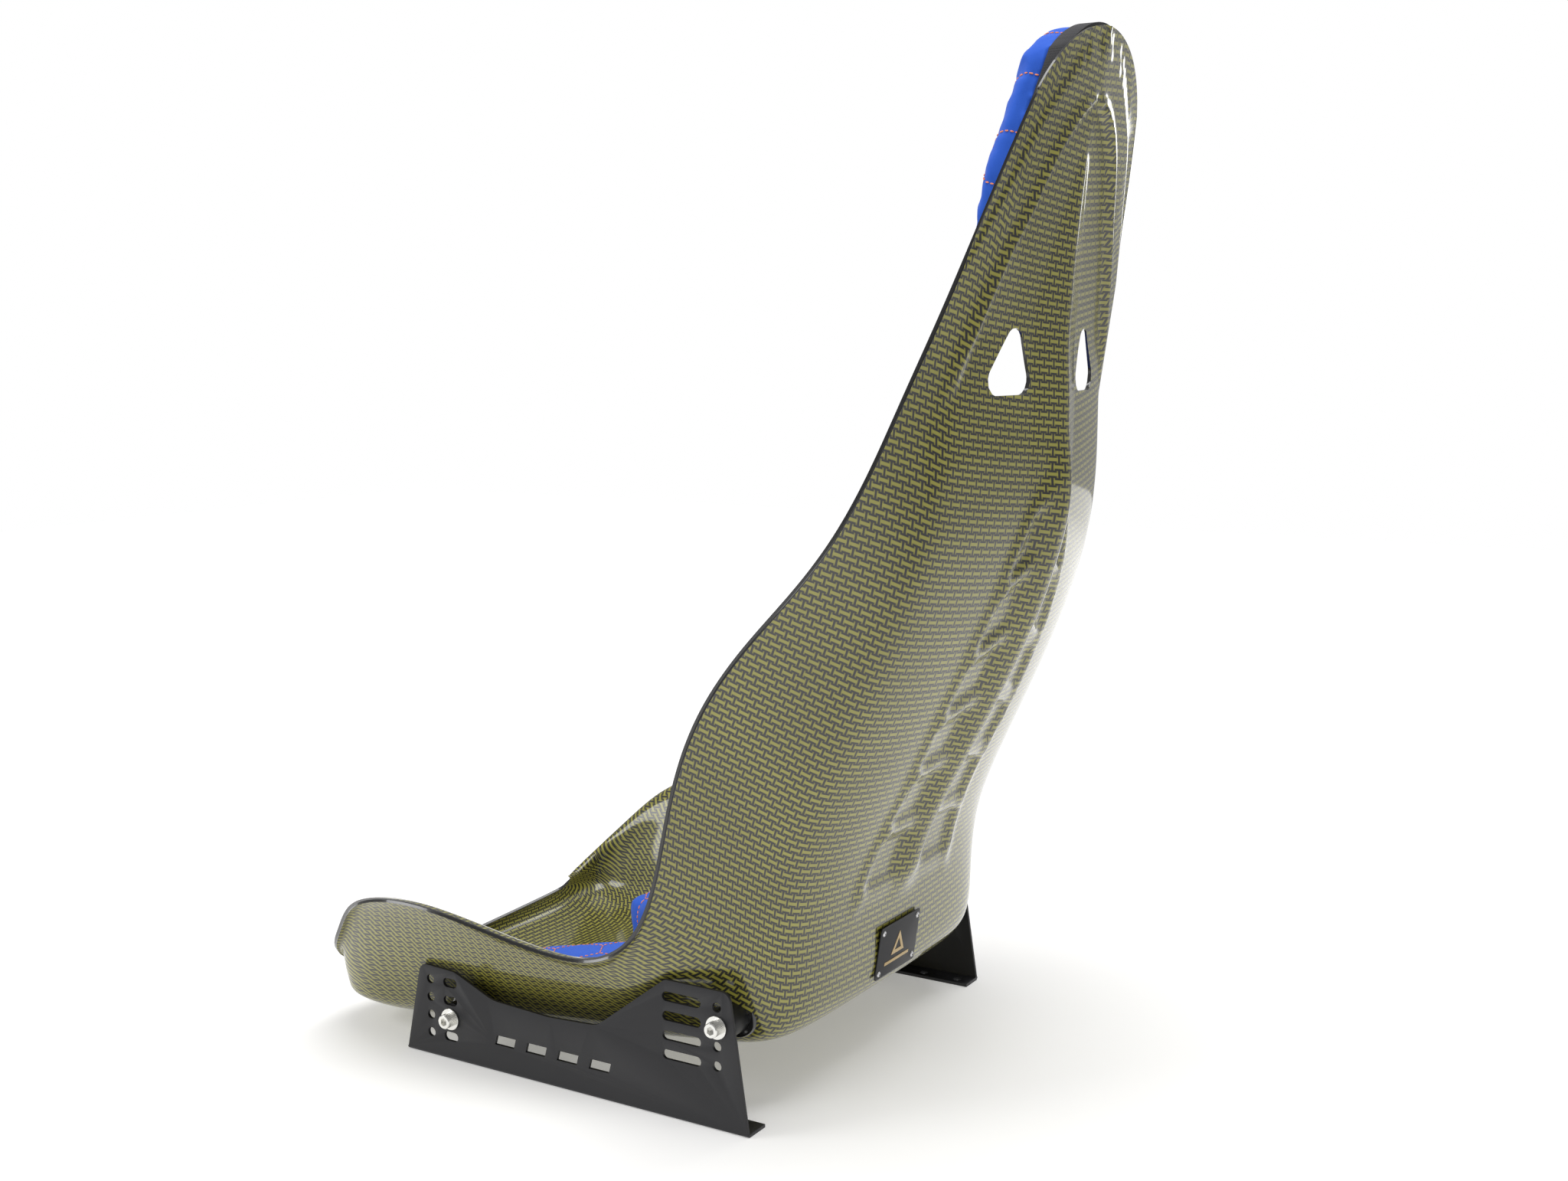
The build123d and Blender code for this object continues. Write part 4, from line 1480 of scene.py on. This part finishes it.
@dataclass
class Pad:
    """A stitched cushion on its backing, swelled by cloth simulation."""

    node: str
    body: Body
    front: Vector
    scatter: Scatter
    quilt: Quilt = field(default_factory=Quilt)
    voxel: float = 4.5 * MM
    shrink: float = 0.6 * MM
    swell_cap: float = 3.0 * MM
    rounding: int = 16
    pressure: float = 4.0
    frames: int = 20
    back_facing: float = -0.55
    thread_lift: float = 0.25 * MM
    thread_size: tuple[float, float] = (3.4 * MM, 1.3 * MM)
    cover_reach: float = 0.4
    above: float = 0.05
    beside: float = 0.2
    wall_foot: float = 3.0 * MM
    face_least: float = 0.25
    lean_least: float = 0.2
    wall_least: float = 0.5
    wall_most: float = 0.75

    def axes(self) -> tuple[np.ndarray, np.ndarray, np.ndarray]:
        """The face's two directions and its outward one."""
        out = np.array(self.front.normalized())
        side = np.array([1.0, 0.0, 0.0])
        up = np.cross(out, side)
        return side, up / np.linalg.norm(up), out

    def blank(self) -> bpy.types.Object:
        """The cushion's closed starting shape, evenly meshed and rounded in front.

        Returns:
            The cover before it is swelled.
        """
        source = bpy.data.objects[self.node]
        piece = new_object(self.node.replace("_cushion", "_cover"), source.data.copy())
        with editing(piece) as shape:
            bmesh.ops.remove_doubles(shape, verts=shape.verts, dist=MERGE)
            bmesh.ops.recalc_face_normals(shape, faces=shape.faces)
        remesh = piece.modifiers.new("even", "REMESH")
        remesh.mode = "VOXEL"
        remesh.voxel_size = self.voxel
        baked(piece)
        out = Vector(self.axes()[2])
        with editing(piece) as shape:
            shape.normal_update()
            free = [v for v in shape.verts if v.normal.dot(out) > self.back_facing]
            for _ in range(self.rounding):
                bmesh.ops.smooth_vert(
                    shape, verts=free, factor=0.5,
                    use_axis_x=True, use_axis_y=True, use_axis_z=True,
                )
            shape.normal_update()
            for vert in free:
                vert.co -= vert.normal * self.shrink
        return piece

    def swell(self, piece: bpy.types.Object) -> None:
        """Blows the cushion up as cloth, and caps how far each point may move.

        Args:
            piece: the cover.
        """
        mesh = piece.data
        start = places_of(mesh)
        held = piece.vertex_groups.new(name="held")
        backs = np.flatnonzero(normals_of(mesh) @ self.axes()[2] < self.back_facing)
        held.add(backs.tolist(), 1.0, "REPLACE")
        cloth = piece.modifiers.new("swell", "CLOTH")
        cloth.settings.use_pressure = True
        cloth.settings.uniform_pressure_force = self.pressure
        cloth.settings.effector_weights.gravity = 0.0
        cloth.settings.vertex_group_mass = held.name
        cloth.settings.quality = 5
        scene = bpy.context.scene
        for frame in range(1, self.frames + 1):
            scene.frame_set(frame)
        graph = bpy.context.evaluated_depsgraph_get()
        moved = places_of(piece.evaluated_get(graph).data)
        piece.modifiers.clear()
        piece.vertex_groups.clear()
        scene.frame_set(1)
        shift = moved - start
        reach = np.linalg.norm(shift, axis=1, keepdims=True)
        shift *= np.minimum(1.0, self.swell_cap / np.maximum(reach, 1e-9))
        move_to(mesh, start + shift)

    def sew(self, piece: bpy.types.Object) -> np.ndarray:
        """Draws the cover in along its sewn lines.

        Args:
            piece: the cover.

        Returns:
            The middles of the honeycomb's cells, on the face's two directions.
        """
        mesh = piece.data
        places, normals = places_of(mesh), normals_of(mesh)
        side, up, out = self.axes()
        spots = np.stack([places @ side, places @ up], axis=1)
        half, low, high = np.abs(spots[:, 0]).max(), spots[:, 1].min(), spots[:, 1].max()
        centres = self.quilt.centres(half, low, high)
        near = self.quilt.nearness(spots, centres)
        depth = self.quilt.groove * np.exp(-((near / self.quilt.groove_width) ** 2))
        depth *= np.clip((normals @ out) * 1.5 + 0.75, 0, 1)
        move_to(mesh, places - normals * depth[:, None])
        return centres

    def stitches(self, piece: bpy.types.Object, centres: np.ndarray) -> None:
        """Lays thread along the sewn lines, over the face and down the sides.

        Args:
            piece: the cover.
            centres: the middles of the honeycomb's cells.
        """
        tree = BVHTree.FromObject(piece, bpy.context.evaluated_depsgraph_get())
        side, up, out = self.axes()
        heights = places_of(piece.data) @ out
        top, foot = heights.max() + self.above, heights.min() + self.wall_foot
        points, outs, alongs = [], [], []

        def lay(origin: np.ndarray, direction: np.ndarray) -> Optional[tuple]:
            """Finds the cover from a point along a direction.

            Args:
                origin: the point.
                direction: the direction.

            Returns:
                The place and normal there, or None.
            """
            hit = tree.ray_cast(Vector(origin), Vector(direction), self.cover_reach)
            return None if hit[0] is None else (np.array(hit[0]), np.array(hit[1]))

        for first, last in self.quilt.lines(centres):
            length = np.linalg.norm(last - first)
            steps = max(2, int(length / self.quilt.stitch_pitch))
            course = (last - first) / length
            along = side * course[0] + up * course[1]
            for share in (np.arange(steps) + 0.5) / steps:
                spot = first + share * (last - first)
                found = lay(side * spot[0] + up * spot[1] + out * top, -out)
                if found is None or found[1] @ out < self.face_least:
                    continue
                points.append(found[0] + found[1] * self.thread_lift)
                outs.append(found[1])
                lean = max(found[1] @ out, self.lean_least)
                alongs.append(along - out * (along @ found[1]) / lean)
            inside = [
                lay(side * end[0] + up * end[1] + out * top, -out) is not None
                for end in (first, last)
            ]
            if inside[0] == inside[1]:
                continue
            away = course if inside[0] else -course
            outward = side * away[0] + up * away[1]
            start = first if inside[0] else last
            base = side * start[0] + up * start[1]
            for height in np.arange(foot, heights.max(), self.quilt.stitch_pitch):
                found = lay(base + outward * self.beside + out * height, -outward)
                if found is None or found[1] @ outward < self.wall_least:
                    continue
                if found[1] @ out > self.wall_most:
                    continue
                points.append(found[0] + found[1] * self.thread_lift)
                outs.append(found[1])
                alongs.append(out)
        thread = revolved(
            [(0, -0.5), (0.32, -0.45), (0.5, -0.2), (0.5, 0.2), (0.32, 0.45), (0, 0.5)], 7)
        thread.transform(Matrix.Rotation(math.pi / 2, 4, "Y"))
        sewn = self.scatter.build(
            f"{piece.name}_stitches", np.array(points), np.array(outs), np.array(alongs),
            object_of("thread", thread), SEAM_THREAD, *self.thread_size,
        )
        settle(sewn, self.body, "pad_blue")

    def build(self) -> None:
        """Makes the cover and its stitches and hands them over."""
        piece = self.blank()
        self.swell(piece)
        finer = piece.modifiers.new("finer", "SUBSURF")
        finer.levels = finer.render_levels = 1
        baked(piece)
        centres = self.sew(piece)
        dress(piece, BLUE_SUEDE)
        piece.data.shade_smooth()
        settle(piece, self.body, "pad_blue", self.node)
        self.stitches(piece, centres)


# ---------------------------------------------------------------- studio
@dataclass
class Studio:
    """Pale floor, soft lights and the camera."""

    eye: tuple = (1.4156, 0.9516, 0.6538)
    look: tuple = (-0.8457, -0.51534, -0.13865)
    up: tuple = (-0.11945, -0.07042, 0.99034)
    lens: float = 41.82
    sensor: float = 36.0
    ambient: float = 0.34
    floor_reach: float = 4.5
    aim: tuple = (0.0, 0.1, 0.4)
    soft_boxes: tuple = (
        ("overhead", (0.2, 0.4, 2.8), (2.0, 2.0), 52.0),
        ("left_front", (1.8, -1.8, 1.6), (1.2, 1.2), 22.0),
        ("right_wall", (-2.6, 0.4, 1.5), (1.2, 1.6), 20.0),
    )

    def camera(self) -> None:
        """Stands the camera and makes it the scene's own."""
        data = bpy.data.cameras.new("camera")
        data.lens = self.lens
        data.sensor_width = self.sensor
        data.clip_end = 50.0
        eye = bpy.data.objects.new("camera", data)
        bpy.context.scene.collection.objects.link(eye)
        look, up = Vector(self.look).normalized(), Vector(self.up).normalized()
        right = look.cross(up).normalized()
        up = right.cross(look)
        turn = Matrix((right, up, -look)).transposed().to_4x4()
        eye.matrix_world = Matrix.Translation(Vector(self.eye)) @ turn
        bpy.context.scene.camera = eye

    def floor(self) -> None:
        """Lays a wide pale floor at the brackets' undersides."""
        reach = self.floor_reach
        corners = [(-reach, -reach, 0), (reach, -reach, 0), (reach, reach, 0), (-reach, reach, 0)]
        floor = object_from("studio_floor", corners, [(0, 1, 2, 3)])
        dress(floor, PALE_FLOOR)
        floor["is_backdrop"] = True

    def light(self, name: str, place: Sequence, size: Sequence, power: float) -> None:
        """Hangs one soft box that faces the seat.

        Args:
            name: the light's name.
            place: its middle.
            size: its width and height.
            power: its power in watts.
        """
        data = bpy.data.lights.new(name, "AREA")
        data.shape = "RECTANGLE"
        data.size, data.size_y = size
        data.energy = power
        lamp = bpy.data.objects.new(name, data)
        bpy.context.scene.collection.objects.link(lamp)
        lamp.visible_camera = False
        lamp.location = place
        aim = Vector(self.aim) - Vector(place)
        lamp.rotation_euler = aim.to_track_quat("-Z", "Y").to_euler()

    def build(self) -> None:
        """Sets up the camera, floor, world and lights."""
        self.camera()
        self.floor()
        self.world()
        bpy.context.scene.view_settings.view_transform = "Standard"
        for name, place, size, power in self.soft_boxes:
            self.light(name, place, size, power)

    def world(self) -> None:
        """Surrounds the seat with pale light, white where the camera sees it."""
        world = bpy.data.worlds.new("studio")
        world.use_nodes = True
        sheet = NodeSheet(world.node_tree)
        seen = sheet.add("ShaderNodeLightPath").outputs["Is Camera Ray"]
        strength = sheet.math("MULTIPLY_ADD", seen, 1.0 - self.ambient, self.ambient)
        sky = world.node_tree.nodes["Background"]
        sky.inputs["Color"].default_value = (1, 1, 1, 1)
        sheet.feed(sky.inputs["Strength"], strength)
        bpy.context.scene.world = world


def record_size(sizes: dict, label: str) -> None:
    """Args:
        sizes: the boxes so far.
        label: the new box's name.
    """
    low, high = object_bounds()
    sizes[label] = [list(map(float, low)), list(map(float, high))]


def main() -> None:
    """Builds every sub-assembly in order."""
    logging.basicConfig(level=logging.INFO, format="%(name)s %(message)s")
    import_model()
    sizes: dict = {}
    record_size(sizes, "cad")
    Studio().build()
    Shell().build()
    Bosses().build()
    scatter = Scatter("set_on_points")
    SideFasteners(scatter).build()
    Badge(scatter).build()
    for node in ("left_bracket", "right_bracket"):
        TrimmedNode(node, POWDER_COAT, "bracket_metal", 0.5 * MM).build()
    for end in ("front", "rear"):
        TrimmedNode(f"{end}_inserts", STEEL, "insert_metal").build()
        for side in ("left", "right"):
            TrimmedNode(f"{end}_{side}_spacer", BLACK_ANODISED, "spacer_black", 0.6 * MM).build()
    TrimmedNode("badge_plate", BADGE_BLACK, "badge_black", 0.3 * MM).build()
    TrimmedNode("badge_emblem", EMBLEM_GOLD, "emblem_gold", 0.08 * MM).build()
    fronts = {
        Body.HEAD_PAD: Vector((0, -0.976, 0.216)),
        Body.BACK_PAD: Vector((0, -0.90, 0.43)),
        Body.SEAT_PAD: Vector((0, -0.14, 0.99)),
    }
    for body, front in fronts.items():
        name = body.value
        Pad(f"{name}_cushion", body, front, scatter).build()
        TrimmedNode(f"{name}_base", BLACK_KNIT, "pad_black", 1.2 * MM, body).build()
        for tape, owner in (("hook", Body.FRAME), ("loop", body)):
            TrimmedNode(f"{name}_{tape}_tape", PILE_TAPE, "tape_black", 0.2 * MM, owner).build()
    record_size(sizes, "looks")


if __name__ == "__main__":
    main()
